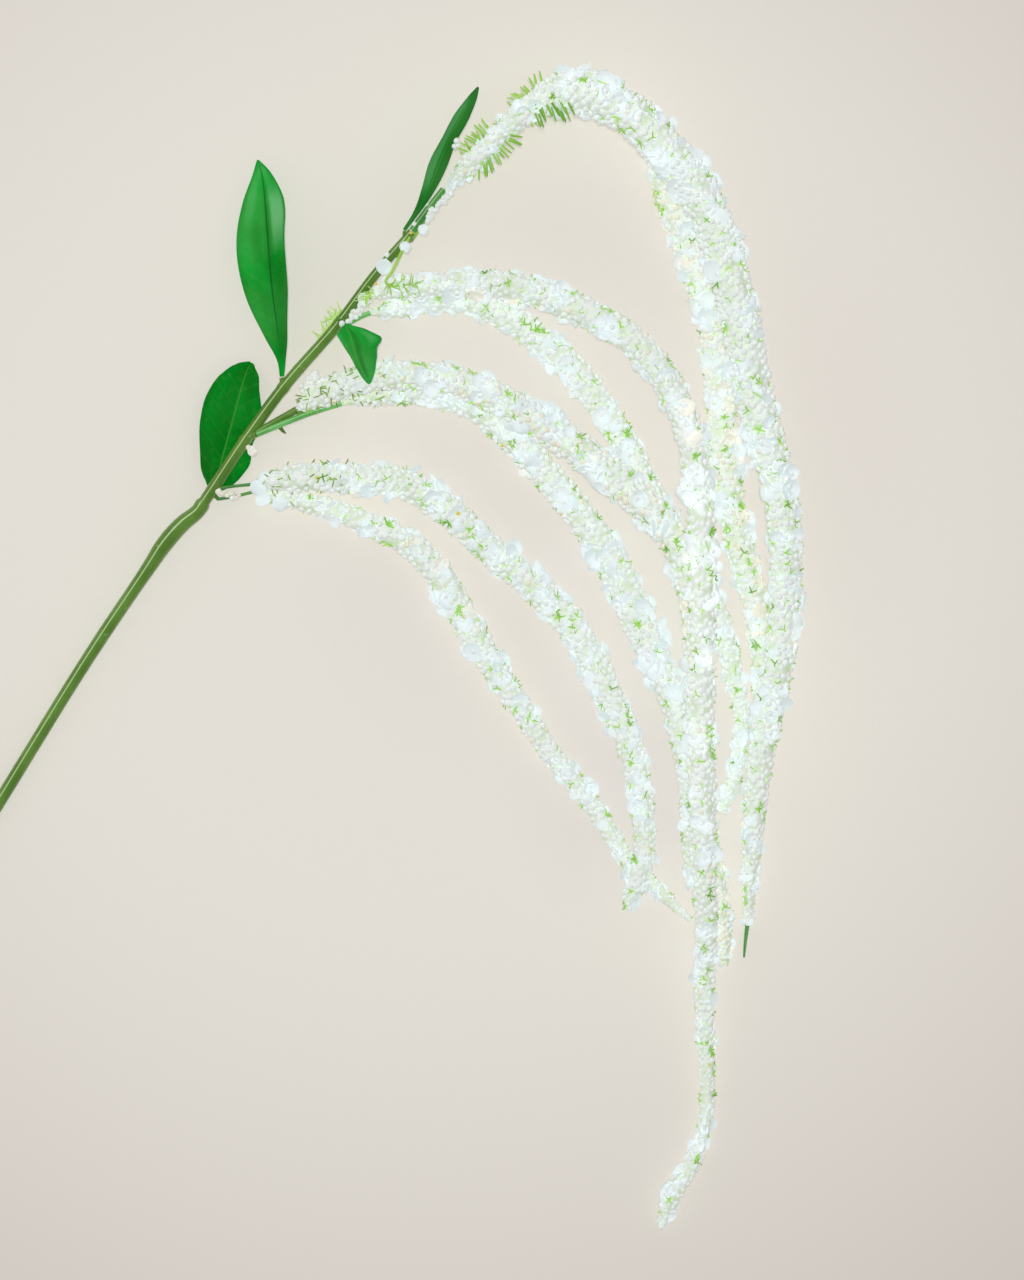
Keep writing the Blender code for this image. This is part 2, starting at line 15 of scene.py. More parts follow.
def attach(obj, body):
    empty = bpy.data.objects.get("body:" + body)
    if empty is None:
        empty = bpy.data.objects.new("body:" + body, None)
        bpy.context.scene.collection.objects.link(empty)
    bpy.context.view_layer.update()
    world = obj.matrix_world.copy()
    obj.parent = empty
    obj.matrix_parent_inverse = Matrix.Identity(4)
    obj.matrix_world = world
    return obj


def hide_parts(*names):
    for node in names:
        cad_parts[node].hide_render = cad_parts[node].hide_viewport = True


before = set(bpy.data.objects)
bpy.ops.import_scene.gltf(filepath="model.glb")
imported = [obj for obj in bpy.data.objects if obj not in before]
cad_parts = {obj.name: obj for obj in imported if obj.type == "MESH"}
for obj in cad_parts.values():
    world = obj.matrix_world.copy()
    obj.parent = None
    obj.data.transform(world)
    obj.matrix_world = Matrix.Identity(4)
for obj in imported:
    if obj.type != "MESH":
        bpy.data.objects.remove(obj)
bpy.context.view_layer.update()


# Lower length of stem
# The long bare end that is cut to length: an olive plastic tube moulded over a steel wire. It has a
# parting line along it, and it swells at its top into the socket that the upper length pushes into.
MM = 0.001
FOOTPRINT_MIDDLE = Vector((19.9, -69.1, 0))
UP = Vector((0, 0, 1))
LOWER_STEM = [
    (-197, -310, 2.62, 2.6), (-82, -119.8, 3.6, 2.6), (-42, -55.6, 5.5, 2.65), (-22, -26, 7.1, 2.95),
    (-16.6, -17.9, 7.7, 3.4), (-8.6, -9, 8.6, 3.3), (-2.8, -4.2, 9.2, 2.95), (-0.7, -1.1, 9.4, 2.8),
    (-0.3, -0.5, 9.4, 2.45),
]
STEM_SIDES = 30
STEM_STEPS = 10
PARTING_SIDE = 9
PARTING_RIDGE = 0.22
# How strongly the painted highlight along the parting line shows.
SEAM_HIGHLIGHT = 0.85
WIRE_RADIUS = 0.8
WIRE_PROUD = 0.5
WIRE_SIDES = 14
SHARP_ANGLE = 80


class Shape:
    """Vertices, faces and marks, gathered in millimetres until a piece is made of them."""

    def __init__(self, **marks):
        self.vertices = []
        self.faces = []
        self.marks = marks

    def add(self, vertices, faces, **marks):
        first = len(self.vertices)
        self.vertices.extend(vertices)
        self.faces.extend([tuple([first + k for k in face]) for face in faces])
        for mark, value in marks.items():
            values = value if isinstance(value, list) else [value] * len(vertices)
            self.marks.setdefault(mark, []).extend(values)


def new_object(name, data):
    """Sets a mesh, a light or the camera into the scene."""
    made = bpy.data.objects.new(name, data)
    bpy.context.scene.collection.objects.link(made)
    return made


def piece_from(shape, name, material, slot, *nodes):
    """Makes the shape into a piece of the spray that stands for the named solids."""
    x, y, _ = FOOTPRINT_MIDDLE
    mesh = bpy.data.meshes.new(name)
    mesh.from_pydata([((v.x - x) * MM, (v.y - y) * MM, v.z * MM) for v in shape.vertices], [], shape.faces)
    for mark, values in shape.marks.items():
        mesh.attributes.new(mark, "FLOAT", "POINT").data.foreach_set("value", values)
    mesh.materials.append(material)
    mesh.shade_smooth()
    mesh.set_sharp_from_angle(angle=radians(SHARP_ANGLE))
    piece = new_object(name, mesh)
    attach(piece, "root")
    if nodes:
        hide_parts(*nodes)


def smooth_line(route, steps):
    """Stations of a smooth line through the route's own. What follows x, y and z is smoothed too."""
    gaps = [dist(a[:3], b[:3]) for a, b in zip(route, route[1:])]
    slopes = []
    for k in range(len(route)):
        ends = (max(k - 1, 0), min(k, len(gaps) - 1))
        into, out = ([(b - a) / gaps[n] for a, b in zip(route[n], route[n + 1])] for n in ends)
        share = gaps[ends[0]] / (gaps[ends[0]] + gaps[ends[1]])
        slopes.append([i * (1 - share) + o * share for i, o in zip(into, out)])
    line = []
    for k, gap in enumerate(gaps):
        for step in range(steps):
            t = step / steps
            weights = (2 * t**3 - 3 * t**2 + 1, (t**3 - 2 * t**2 + t) * gap, 3 * t**2 - 2 * t**3,
                       (t**3 - t**2) * gap)
            corners = zip(route[k], slopes[k], route[k + 1], slopes[k + 1])
            line.append([sum(w * c for w, c in zip(weights, corner)) for corner in corners])
    return line + [list(route[-1])]


def aimed(a, b, angle):
    """A way that is turned by an angle from one way to another."""
    return a * cos(angle) + b * sin(angle)


def directions(line):
    """For each station, the way along the line, the level way to its right and the way over it."""
    found = []
    for behind, ahead in zip([line[0], *line], [*line[1:], line[-1]]):
        along = (Vector(ahead[:3]) - Vector(behind[:3])).normalized()
        right = along.cross(UP).normalized()
        found.append((along, right, right.cross(along)))
    return found


def add_tube(shape, line, sides, ridge=0, **marks):
    """A round closed body along a line whose stations end in a radius, with a ridge along one side."""
    vertices = []
    for station, (_, right, over) in zip(line, directions(line)):
        for j in range(sides):
            reach = station[3] + (ridge if j == PARTING_SIDE else 0)
            vertices.append(Vector(station[:3]) + aimed(right, over, tau * j / sides) * reach)
    if "seam" in shape.marks:
        marks["seam"] = [1 if ridge and j == PARTING_SIDE else 0 for _ in line for j in range(sides)]
    last = len(vertices) - sides
    faces = []
    for a, j in product(range(0, last, sides), range(sides)):
        k = (j + 1) % sides
        faces.append((a + k, a + j, a + sides + j, a + sides + k))
    faces.append(tuple(range(sides)))
    faces.append(tuple(last + j for j in reversed(range(sides))))
    shape.add(vertices, faces, **marks)


def new_material(name, roughness):
    """A material with its shader, ready for the nodes that colour it."""
    material = bpy.data.materials.new(name)
    material.use_nodes = True
    shader = material.node_tree.nodes["Principled BSDF"]
    return material, material.node_tree, connect(shader, Roughness=roughness)


def paint(red, green, blue):
    """A display colour of 0 to 255 as the shader's own."""
    def linear(value):
        value /= 255
        return value / 12.92 if value <= 0.04045 else ((value + 0.055) / 1.055) ** 2.4
    return (linear(red), linear(green), linear(blue), 1.0)


def connect(node, **values):
    """Sets a node's options, in small letters, and sets or links its inputs, with _ for a space."""
    for label, value in values.items():
        if label[0].islower():
            setattr(node, label, value)
            continue
        socket = node.inputs[int(label[1:]) if label[1:].isdigit() else label.replace("_", " ")]
        if isinstance(value, bpy.types.NodeSocket):
            node.id_data.links.new(value, socket)
        else:
            socket.default_value = paint(*value) if socket.type == "RGBA" else value
    return node


def add_node(tree, kind, **values):
    return connect(tree.nodes.new("ShaderNode" + kind), **values)


def new_group(name, inputs, outputs):
    """An empty shader group whose inputs start as the colours and values given."""
    group = bpy.data.node_groups.new(name, "ShaderNodeTree")
    for label, start in inputs.items():
        kind, start = ("Color", paint(*start)) if isinstance(start, tuple) else ("Float", start)
        socket = group.interface.new_socket(label, in_out="INPUT", socket_type="NodeSocket" + kind)
        socket.default_value = start
    for label, kind in outputs.items():
        group.interface.new_socket(label, in_out="OUTPUT", socket_type="NodeSocket" + kind)
    return group, group.nodes.new("NodeGroupInput").outputs, group.nodes.new("NodeGroupOutput")


def use_group(tree, group, **inputs):
    return add_node(tree, "Group", node_tree=group, **inputs).outputs


def math_node(tree, operation, a, b=0, c=0):
    return add_node(tree, "Math", operation=operation, _0=a, _1=b, _2=c).outputs[0]


def times(tree, a, b):
    return math_node(tree, "MULTIPLY", a, b)


def mixed(tree, share, a, b):
    """A colour between two others."""
    return add_node(tree, "Mix", data_type="RGBA", _0=share, _6=a, _7=b).outputs[2]


def eased(tree, value, low, high):
    """0 below low, 1 above high and smooth between them."""
    return add_node(tree, "MapRange", interpolation_type="SMOOTHSTEP", Value=value, From_Min=low,
                    From_Max=high).outputs[0]


def place_on(tree):
    return add_node(tree, "TexCoord").outputs["Object"]


def noisy(tree, scale, detail=2, roughness=0.5):
    """Soft noise that is fixed to the piece."""
    return add_node(tree, "TexNoise", Vector=place_on(tree), Scale=scale, Detail=detail,
                    Roughness=roughness).outputs[0]


def attribute(tree, name):
    """A mark that the mesh carries on its corners."""
    return add_node(tree, "Attribute", attribute_name=name).outputs["Fac"]


def emboss(shader, height, depth, strength):
    """Roughens the surface by a height, to a depth in millimetres."""
    bump = add_node(shader.id_data, "Bump", Height=height, Distance=depth * MM, Strength=strength)
    connect(shader, Normal=bump.outputs[0])


# Moulded plastic is the same everywhere: its colour drifts a little along the piece, it is scuffed
# pale in short streaks, and its skin has a fine grain.
moulded, given, result = new_group(
    "moulded_plastic_skin",
    {"Base": (90, 120, 60), "Drift": (110, 140, 80), "Scuff": (170, 180, 150), "Scuffing": 0.3},
    {"Colour": "Color", "Roughness": "Float", "Height": "Float"},
)
toned = mixed(moulded, eased(moulded, noisy(moulded, 70), 0.35, 0.65), given["Base"], given["Drift"])
scuffs = eased(moulded, noisy(moulded, 420, 3, 0.7), 0.60, 0.74)
scuffed = times(moulded, scuffs, given["Scuffing"])
connect(result, Colour=mixed(moulded, scuffed, toned, given["Scuff"]),
        Roughness=math_node(moulded, "MULTIPLY_ADD", scuffed, 0.3, 0.34), Height=noisy(moulded, 900))


def moulded_plastic(name, base, drift, scuff, scuffing, coat):
    """Plastic of one colour scheme, the shared skin and a painted highlight on its parting line."""
    material, tree, shader = new_material(name, 0.4)
    skin = use_group(tree, moulded, Base=base, Drift=drift, Scuff=scuff, Scuffing=scuffing)
    # Painted highlight: the parting line is painted in the pale scuff colour.
    seam_highlight = times(tree, eased(tree, attribute(tree, "seam"), 0.2, 0.95), SEAM_HIGHLIGHT)
    connect(shader, Base_Color=mixed(tree, seam_highlight, skin["Colour"], scuff), Roughness=skin["Roughness"],
            Coat_Weight=coat, Coat_Roughness=0.14)
    emboss(shader, skin["Height"], 0.06, 0.6)
    return material


stem_plastic = moulded_plastic("olive_stem_plastic", (76, 116, 28), (92, 132, 44),
                               (180, 206, 150), 0.35, 0.5)
lower_stem = Shape(seam=[])
add_tube(lower_stem, smooth_line(LOWER_STEM, STEM_STEPS), STEM_SIDES, PARTING_RIDGE)
piece_from(lower_stem, "lower_stem_tube", stem_plastic, "stem", "lower_stem")

steel, tree, shader = new_material("cut_wire_steel", 0.35)
brushed = add_node(tree, "TexNoise", Scale=1800).outputs[0]
connect(shader, Base_Color=mixed(tree, brushed, (120, 118, 112), (176, 174, 168)), Metallic=1)
cut_end = Vector(LOWER_STEM[0][:3])
outward = (cut_end - Vector(LOWER_STEM[1][:3])).normalized()
wire_end = Shape()
add_tube(wire_end, [(*(cut_end - outward), WIRE_RADIUS), (*(cut_end + outward * WIRE_PROUD), WIRE_RADIUS)],
         WIRE_SIDES)
piece_from(wire_end, "cut_wire_end", steel, "stem")


# Upper length of stem
# The same plastic, slimmer, pushed into the socket. It is moulded in one with a collar at each node
# and with the short pegs that the stalks, spikes, twigs and leaves push onto.
UPPER_STEM = [
    (-1.5, -2.2, 9.3, 2.3), (0, 0, 9.4, 2.35), (16, 24, 10.6, 2.4), (31.2, 44.8, 11.5, 2.35),
    (54, 71.2, 12.6, 2.15), (68, 90, 13.1, 2), (82.8, 107.2, 13.5, 1.8),
]
COLLARS = [
    (16, 24, 10.6, 2.6), (31.2, 44.8, 11.5, 2.6), (54, 71.2, 12.6, 2.4), (80.4, 104, 13.4, 1.92),
]
COLLAR_LENGTH = 4.6
COLLAR_ROUNDS = [(-1, 0.78), (-0.7, 0.93), (-0.3, 1), (0, 0.98), (0.3, 1), (0.7, 0.93), (1, 0.78)]
# The last two are the stump of a trimmed twig and a thorn.
PEGS = [
    [(17.2, 25.8, 10.7, 1.25), (20.8, 26.2, 14.2, 1.15)], [(3.1, 4.7, 9.7, 0.9), (6.8, 4.9, 10.8, 0.8)],
    [(2.3, 3.4, 9.6, 0.9), (5.2, 0.4, 7.4, 0.8)], [(52.8, 69.8, 12.5, 1.15), (57.9, 70.9, 12.2, 1)],
    [(61.2, 80.9, 12.9, 1.5), (66.4, 81.7, 15.3, 1.4)], [(16.2, 24.4, 10.6, 1.6), (36.8, 36.1, 12.8, 1.5)],
    [(79.4, 103.2, 13.3, 1.5), (82.4, 104.5, 10, 1.4)], [(75, 98.1, 13.2, 0.95), (77.7, 97.6, 15.3, 0.85)],
    [(2.4, 3.5, 9.5, 1.3), (2.4, 3.6, 6.5, 1.2)], [(31.6, 45.4, 11.6, 1.5), (30.9, 48.9, 12.3, 1.2)],
    [(54, 71.2, 12.6, 1.3), (54.2, 71.4, 15.7, 1.1)], [(79.8, 103.8, 13.8, 0.9), (79.8, 107.4, 15.6, 0.7)],
    [(36.2, 36.2, 12.4, 1.3), (38.4, 34.6, 12.2, 1.35), (39, 34.2, 12.1, 1.15)],
    [(29.6, 29.4, 12.6, 0.9), (31.4, 27.4, 12.5, 0.6), (32.4, 26.6, 12.4, 0.2)],
]
PEG_SIDES = 12
PEG_STEPS = 4

upper_stem = Shape(seam=[])
add_tube(upper_stem, smooth_line(UPPER_STEM, STEM_STEPS), STEM_SIDES, PARTING_RIDGE)
for collar, here, ahead in zip(COLLARS, UPPER_STEM[1:], UPPER_STEM[2:]):
    reach = (Vector(ahead[:3]) - Vector(here[:3])).normalized() * (COLLAR_LENGTH / 2)
    rounds = [(*(Vector(collar[:3]) + reach * k), collar[3] * share) for k, share in COLLAR_ROUNDS]
    add_tube(upper_stem, rounds, STEM_SIDES, PARTING_RIDGE)
for peg in PEGS:
    add_tube(upper_stem, smooth_line(peg, PEG_STEPS), PEG_SIDES)
piece_from(upper_stem, "upper_stem_moulding", stem_plastic, "stem", "upper_stem")


# Green stalks and the bare tip
# Slim moulded stalks, brighter than the stem, pushed onto its pegs. Each carries a flower spike.
# The leader's outer spike ends in a short bare tip of the same plastic.
STALKS = {
    "stalk_leader": [(83.05, 107.5, 13.5, 1.6), (88, 114.2, 13.8, 1.7), (95.6, 124.1, 14.3, 1.6)],
    "stalk_middle_inner": [
        (20.8, 26.2, 14.2, 1.1), (30, 30, 14.8, 1.15), (40, 34, 12.6, 1.15), (54.3, 38.7, 7.9, 1.2),
    ],
    "stalk_lower_outer": [(6.8, 4.9, 10.8, 0.65), (12, 5.6, 10.9, 0.6), (18.2, 6.2, 10.5, 0.65)],
    "stalk_lower_inner": [(5.2, 0.4, 7.4, 0.65), (11, 1.3, 7.1, 0.6), (19.1, 3.3, 7.4, 0.65)],
    "stalk_upper_inner": [(57.9, 70.9, 12.2, 1), (62, 73.2, 11.6, 1), (66, 74.9, 11, 1)],
    "bare_tip": [(217.2, -169.4, 3.75, 0.9), (216.4, -176, 3.2, 0.7), (215.8, -183.2, 2.4, 0.4)],
}
STALK_RIDGE = 0.1
STALK_STEPS = 8
DARK_STALKS = ("stalk_leader", "stalk_lower_outer", "stalk_lower_inner", "bare_tip")
stalk_plastic = moulded_plastic("green_stalk_plastic", (110, 188, 102), (88, 166, 78),
                                (190, 226, 176), 0.4, 0.3)
dark_stalk_plastic = moulded_plastic("dark_green_stalk_plastic", (54, 122, 48), (78, 146, 64),
                                     (160, 204, 146), 0.4, 0.3)
for name, route in STALKS.items():
    stalk = Shape(seam=[])
    add_tube(stalk, smooth_line(route, STALK_STEPS), STEM_SIDES, STALK_RIDGE)
    plastic = dark_stalk_plastic if name in DARK_STALKS else stalk_plastic
    piece_from(stalk, name + "_moulding", plastic, "stalk", name)


# Twigs with needles
# A soft plastic twig with a row of needles along each side lies under the leader, a small tuft of
# them stands behind the stem, and a light one in front of it. Each is moulded in one.
NEEDLE_SIDES = 5
NEEDLE_REACHES = ((0, 1), (0.45, 0.97), (0.8, 0.86), (0.95, 0.62), (1, 0.2))
TWIG_SIDES = 10
TWIG_STEPS = 14
# Each twig's route, the spans of it that carry needles, how many a side, how long they are at its
# start and end, how they lean and sweep in degrees, their radius and how pale they are.
TWIGS = {
    "leader_sprig": (
        [(82.6, 104.8, 9.7, 1.3), (93, 120.4, 8.2, 1.4), (108, 137, 7.4, 1.4), (128, 155, 6.8, 1.3),
         (143, 163.4, 5.8, 1.2), (154, 165.4, 5.2, 1.2), (159.2, 162.7, 5, 1.1)],
        [(0.31, 0.41), (0.48, 0.6)], 5, (8.4, 9.8), (2, 34), (-20, 20), 0.54, 0,
    ),
    "needle_tuft": (
        [(57, 66.4, 7.8, 0.6), (53.6, 70.9, 8.7, 0.6), (50.6, 73, 8.5, 0.4)],
        [(0.55, 1)], 3, (5.6, 5), (-20, 4), (10, 70), 0.34, 0.8,
    ),
    "stem_needles": (
        [(44.8, 63.6, 9.3, 0.5), (50, 70.4, 9.5, 0.5), (54.6, 76.4, 9.7, 0.4)],
        [(0.02, 0.98)], 11, (4.8, 5), (-8, 24), (-10, 44), 0.26, 1,
    ),
    "light_twig": (
        [(81.8, 105.2, 14.6, 0.66), (77.9, 97.4, 16.4, 0.68), (74.9, 91.2, 20.6, 0.66),
         (72.6, 86.6, 24.4, 0.6), (74.2, 85.3, 25.8, 0.5), (79, 85.6, 27, 0.4), (85, 86, 27.4, 0.3)],
        [(0.58, 1)], 17, (6, 5), (-14, 62), (0, 84), 0.28, 0.4,
    ),
    "side_tuft": (
        [(69, 84.6, 16.2, 0.5), (66.4, 82.4, 17.4, 0.5), (63.8, 79.8, 17.4, 0.4)],
        [(0.1, 1)], 10, (3.6, 4.6), (-10, 50), (0, 70), 0.22, 0.5,
    ),
}
# Tufts that the frame has no solid for.
EXTRA_TUFTS = ("stem_needles", "side_tuft")


def add_needle(shape, root, way, length, radius, droop, reaches, sides, **marks):
    """A slim needle that bends a little towards the ground and ends in a rounded point."""
    line = [(*(root + way * (length * t) - UP * (droop * t * t)), radius * share) for t, share in reaches]
    add_tube(shape, line, sides, **marks)


# Soft plastic whose needles get paler towards their tips, and all pale on the finer twigs.
needle_plastic, tree, shader = new_material("needle_plastic", 0.5)
pale_share = attribute(tree, "pale")
skin = use_group(tree, moulded, Base=mixed(tree, pale_share, (150, 196, 70), (198, 232, 140)),
                 Drift=mixed(tree, pale_share, (122, 166, 48), (172, 218, 96)),
                 Scuff=(214, 232, 170), Scuffing=0.2)
tip_share = times(tree, eased(tree, attribute(tree, "tip"), 0.3, 1), 0.5)
connect(shader, Base_Color=mixed(tree, tip_share, skin["Colour"], (206, 230, 156)),
        Roughness=skin["Roughness"])
tips = [share for share, _ in NEEDLE_REACHES for _ in range(NEEDLE_SIDES)]
for name, (route, spans, count, (near, far), lean, sweeps, radius, pale) in TWIGS.items():
    draw = random.Random(name)
    sprig = Shape()
    line = smooth_line(route, TWIG_STEPS)
    add_tube(sprig, line, TWIG_SIDES, tip=0, pale=pale)
    ways = directions(line)
    for side, (start, end), k in product((-1, 1), spans, range(count)):
        share = start + (end - start) * (k + draw.uniform(0.25, 0.75)) / count
        spot = round(share * (len(line) - 1))
        along, right, _ = ways[spot]
        rise = radians(draw.uniform(*lean))
        level = aimed(right * side, along, radians(draw.uniform(*sweeps)))
        way = aimed(level, UP, rise).normalized()
        length = (near + (far - near) * share) * draw.uniform(0.84, 1)
        add_needle(sprig, Vector(line[spot][:3]), way, length, radius, draw.uniform(0, 0.8),
                   NEEDLE_REACHES, NEEDLE_SIDES, tip=tips, pale=pale)
    nodes = () if name in EXTRA_TUFTS else (name,)
    piece_from(sprig, name + "_needles", needle_plastic, "needle", *nodes)


# Leaves
# Four leaves cut from coated cloth, with the midrib and side veins pressed in. Each is glued onto
# its peg. Stations run up the midrib: x, y, z, both half widths, and how far these halves rise.
LEAVES = {
    "leaf_broad": [
        (2.3, 3.4, 5.8, 1, 1, 0, 0), (4.2, 7.4, 5, 5.3, 6, 6, 0), (6.4, 16, 4.3, 9, 11.2, 12, 0),
        (9.4, 26.5, 4.1, 12.5, 10.4, 14, 2), (10.9, 32, 4.4, 13.2, 12.3, 14, 5),
        (12.4, 37.5, 4.7, 13.3, 10.8, 14, 10), (15, 47, 5.5, 9.9, 7.1, 8, 14),
        (17, 52.6, 5.1, 5, 4.3, -4, 4), (18.4, 55.2, 4.3, 1, 1, -8, -6),
    ],
    "leaf_tall": [
        (30.8, 49.4, 12.5, 0.9, 0.9, 10, 20), (30.4, 55, 13.1, 1.3, 2.4, 8, 40),
        (29.4, 65, 13.9, 5.2, 6.6, 4, 56), (26.9, 84, 14.2, 11.2, 13, -2, 60),
        (25.2, 104, 12.8, 12.8, 12.6, -6, 57), (24, 119, 10.8, 9.4, 10, -8, 40),
        (22.8, 129.6, 8.8, 4.5, 4.4, -6, 28), (21, 136.2, 7.4, 0.4, 0.4, 0, 10),
    ],
    "leaf_folded": [
        (54.2, 71.3, 16.4, 0.9, 0.9, 0, 0), (55.9, 70.2, 19.6, 1.2, 1.2, 4, 4),
        (57.3, 68.4, 23, 2.2, 5, 2, -4), (58.2, 66, 25.4, 6.8, 4.8, -2, -10),
        (59.1, 62.4, 27.2, 11.9, 3.9, -8, -20), (60.2, 58.4, 28.4, 9.6, 2.7, -14, -28),
        (62.2, 53, 28.8, 7.8, 1.9, -17, -32), (64.4, 48.9, 28, 5, 1.5, -18, -30),
        (66.1, 46.1, 26.8, 0.5, 0.5, 0, 0),
    ],
    "leaf_narrow": [
        (79.8, 107.8, 15.9, 0.8, 0.8, 30, 30), (83.2, 112.6, 16.7, 1.5, 1.3, 50, 45),
        (86.2, 117.4, 17.2, 2.7, 2.2, 54, 48), (88.9, 123, 17.4, 4.6, 3.8, 58, 50),
        (93, 134, 17.6, 6.6, 6.8, 60, 54), (97.4, 144.4, 17.4, 4.6, 6, 60, 54),
        (101.2, 151.8, 16.8, 4.6, 6.2, 60, 52), (105.6, 159.4, 15.4, 2.4, 4.2, 56, 50),
        (109.3, 165.1, 14, 0.5, 0.5, 40, 40),
    ],
}
LEAF_STEPS = 6
LEAF_COLUMNS = 12
LEAF_THICKNESS = 0.45
RISE_AT_MIDRIB = 0.6
MIDRIB_GROOVE = 0.45
MIDRIB_SPREAD = 0.9
VEIN_SPACING = 7
VEIN_SLANT = 0.85
VEIN_HEIGHT = 0.12

# How deep a leaf's green is, how light its midrib and how much painted sheen lies on it in soft
# patches: the broad leaf's midrib is a bright line, while the tall leaf's is painted dark, as painted
# shade in its crease.
LEAF_TONES = {
    "leaf_broad": (1.0, 0.55, 0.03),
    "leaf_tall": (0.15, 0.0, 0.15),
    "leaf_folded": (0.2, 0.6, 0.25),
    "leaf_narrow": (0.0, 0.0, 0.5),
}
# Painted shade where the cloth folds, and painted sheen where it would shine: from where to where
# along the leaf, then across it from its left edge, -1, to its right edge, 1, and how dark the painted
# shade is, or below zero how pale the painted sheen is.
LEAF_PAINTED_SHADING = {
    "leaf_broad": [(0.3, 0.9, -0.5, -0.1, 0.18), (0, 0.35, -1.2, -0.5, 0.2), (0.35, 0.85, 0.25, 0.7, 0.2)],
    "leaf_tall": [
        (0.57, 0.76, 0.2, 0.85, -0.5), (0.14, 0.5, 0.12, 1.2, 0.42), (0.25, 0.95, -0.06, 0.1, 0.4),
        (0.5, 0.66, -0.5, -0.2, 0.25), (0.28, 0.44, -0.5, -0.1, 0.22), (0.66, 0.9, -0.8, -0.4, -0.16),
        (0.84, 0.96, -0.4, 0.6, -0.2),
    ],
    "leaf_folded": [
        (0.2, 0.9, -0.26, -0.06, 0.5), (0.2, 0.9, 0.15, 0.6, 0.2), (0.2, 0.5, 0.85, 1.2, -0.2),
        (0.38, 0.54, -0.85, -0.55, -0.2), (0.55, 0.95, -1.2, -0.97, -0.6),
    ],
    "leaf_narrow": [
        (0.05, 1.1, 0.08, 1.2, 0.6), (-0.1, 0.34, -1.2, 0, 0.25), (0.4, 0.88, -1.2, -0.1, -0.36),
        (0.9, 1.1, -1.2, 0.1, 0.4),
    ],
}
STROKE_SOFTNESS = 0.16


def smooth_step(value):
    value = min(max(value, 0), 1)
    return value * value * (3 - 2 * value)


def within(value, low, high):
    """1 well between two limits, 0 well outside them and smooth at each."""
    return (smooth_step((value - low) / STROKE_SOFTNESS + 0.5)
            * smooth_step((high - value) / STROKE_SOFTNESS + 0.5))


leaf_cloth, tree, shader = new_material("coated_leaf_cloth", 0.6)
veins = math_node(tree, "PINGPONG", attribute(tree, "vein_phase"), 0.5)
side_vein = math_node(tree, "SUBTRACT", 1, eased(tree, veins, 0, 0.06))
off_rib = math_node(tree, "ABSOLUTE", attribute(tree, "across"))
midrib = math_node(tree, "SUBTRACT", 1, eased(tree, off_rib, 0.005, 0.045))
cloudy = eased(tree, noisy(tree, 60, 3), 0.32, 0.68)
bright = mixed(tree, cloudy, (4, 136, 34), (24, 158, 54))
deep = mixed(tree, cloudy, (0, 110, 20), (0, 128, 30))
ground = mixed(tree, attribute(tree, "deep_green"), bright, deep)
# The midrib is a bright line on the broad and folded leaves; on the tall and narrow ones it is painted
# dark, as painted shade in the crease.
rib_tone = mixed(tree, attribute(tree, "light_rib"), (4, 84, 24), (96, 170, 66))
# From the cloth up: a darker edge, soft patches of painted sheen, side veins, mottling, painted fold
# shade, painted sheen and the midrib.
for share, tone in (
    (times(tree, eased(tree, off_rib, 0.75, 1), 0.3), (0, 92, 22)),
    # Painted sheen: pale patches at random over the satin cloth.
    (times(tree, eased(tree, noisy(tree, 34, 1), 0.40, 0.66), attribute(tree, "bloom")), (104, 168, 96)),
    (times(tree, side_vein, 0.1), (96, 176, 70)),
    (times(tree, eased(tree, noisy(tree, 420, 3), 0.5, 0.72), 0.09), (96, 168, 72)),
    # Painted shade of the folds, then painted sheen.
    (attribute(tree, "folded_dark"), (24, 76, 14)),
    (attribute(tree, "shine"), (132, 204, 142)),
    (times(tree, midrib, 0.8), rib_tone),
):
    ground = mixed(tree, share, ground, tone)
connect(shader, Base_Color=ground, Specular_IOR_Level=0.06)
relief = math_node(tree, "MULTIPLY_ADD", noisy(tree, 1500), 0.35, times(tree, side_vein, -0.4))
emboss(shader, relief, 0.12, 0.6)

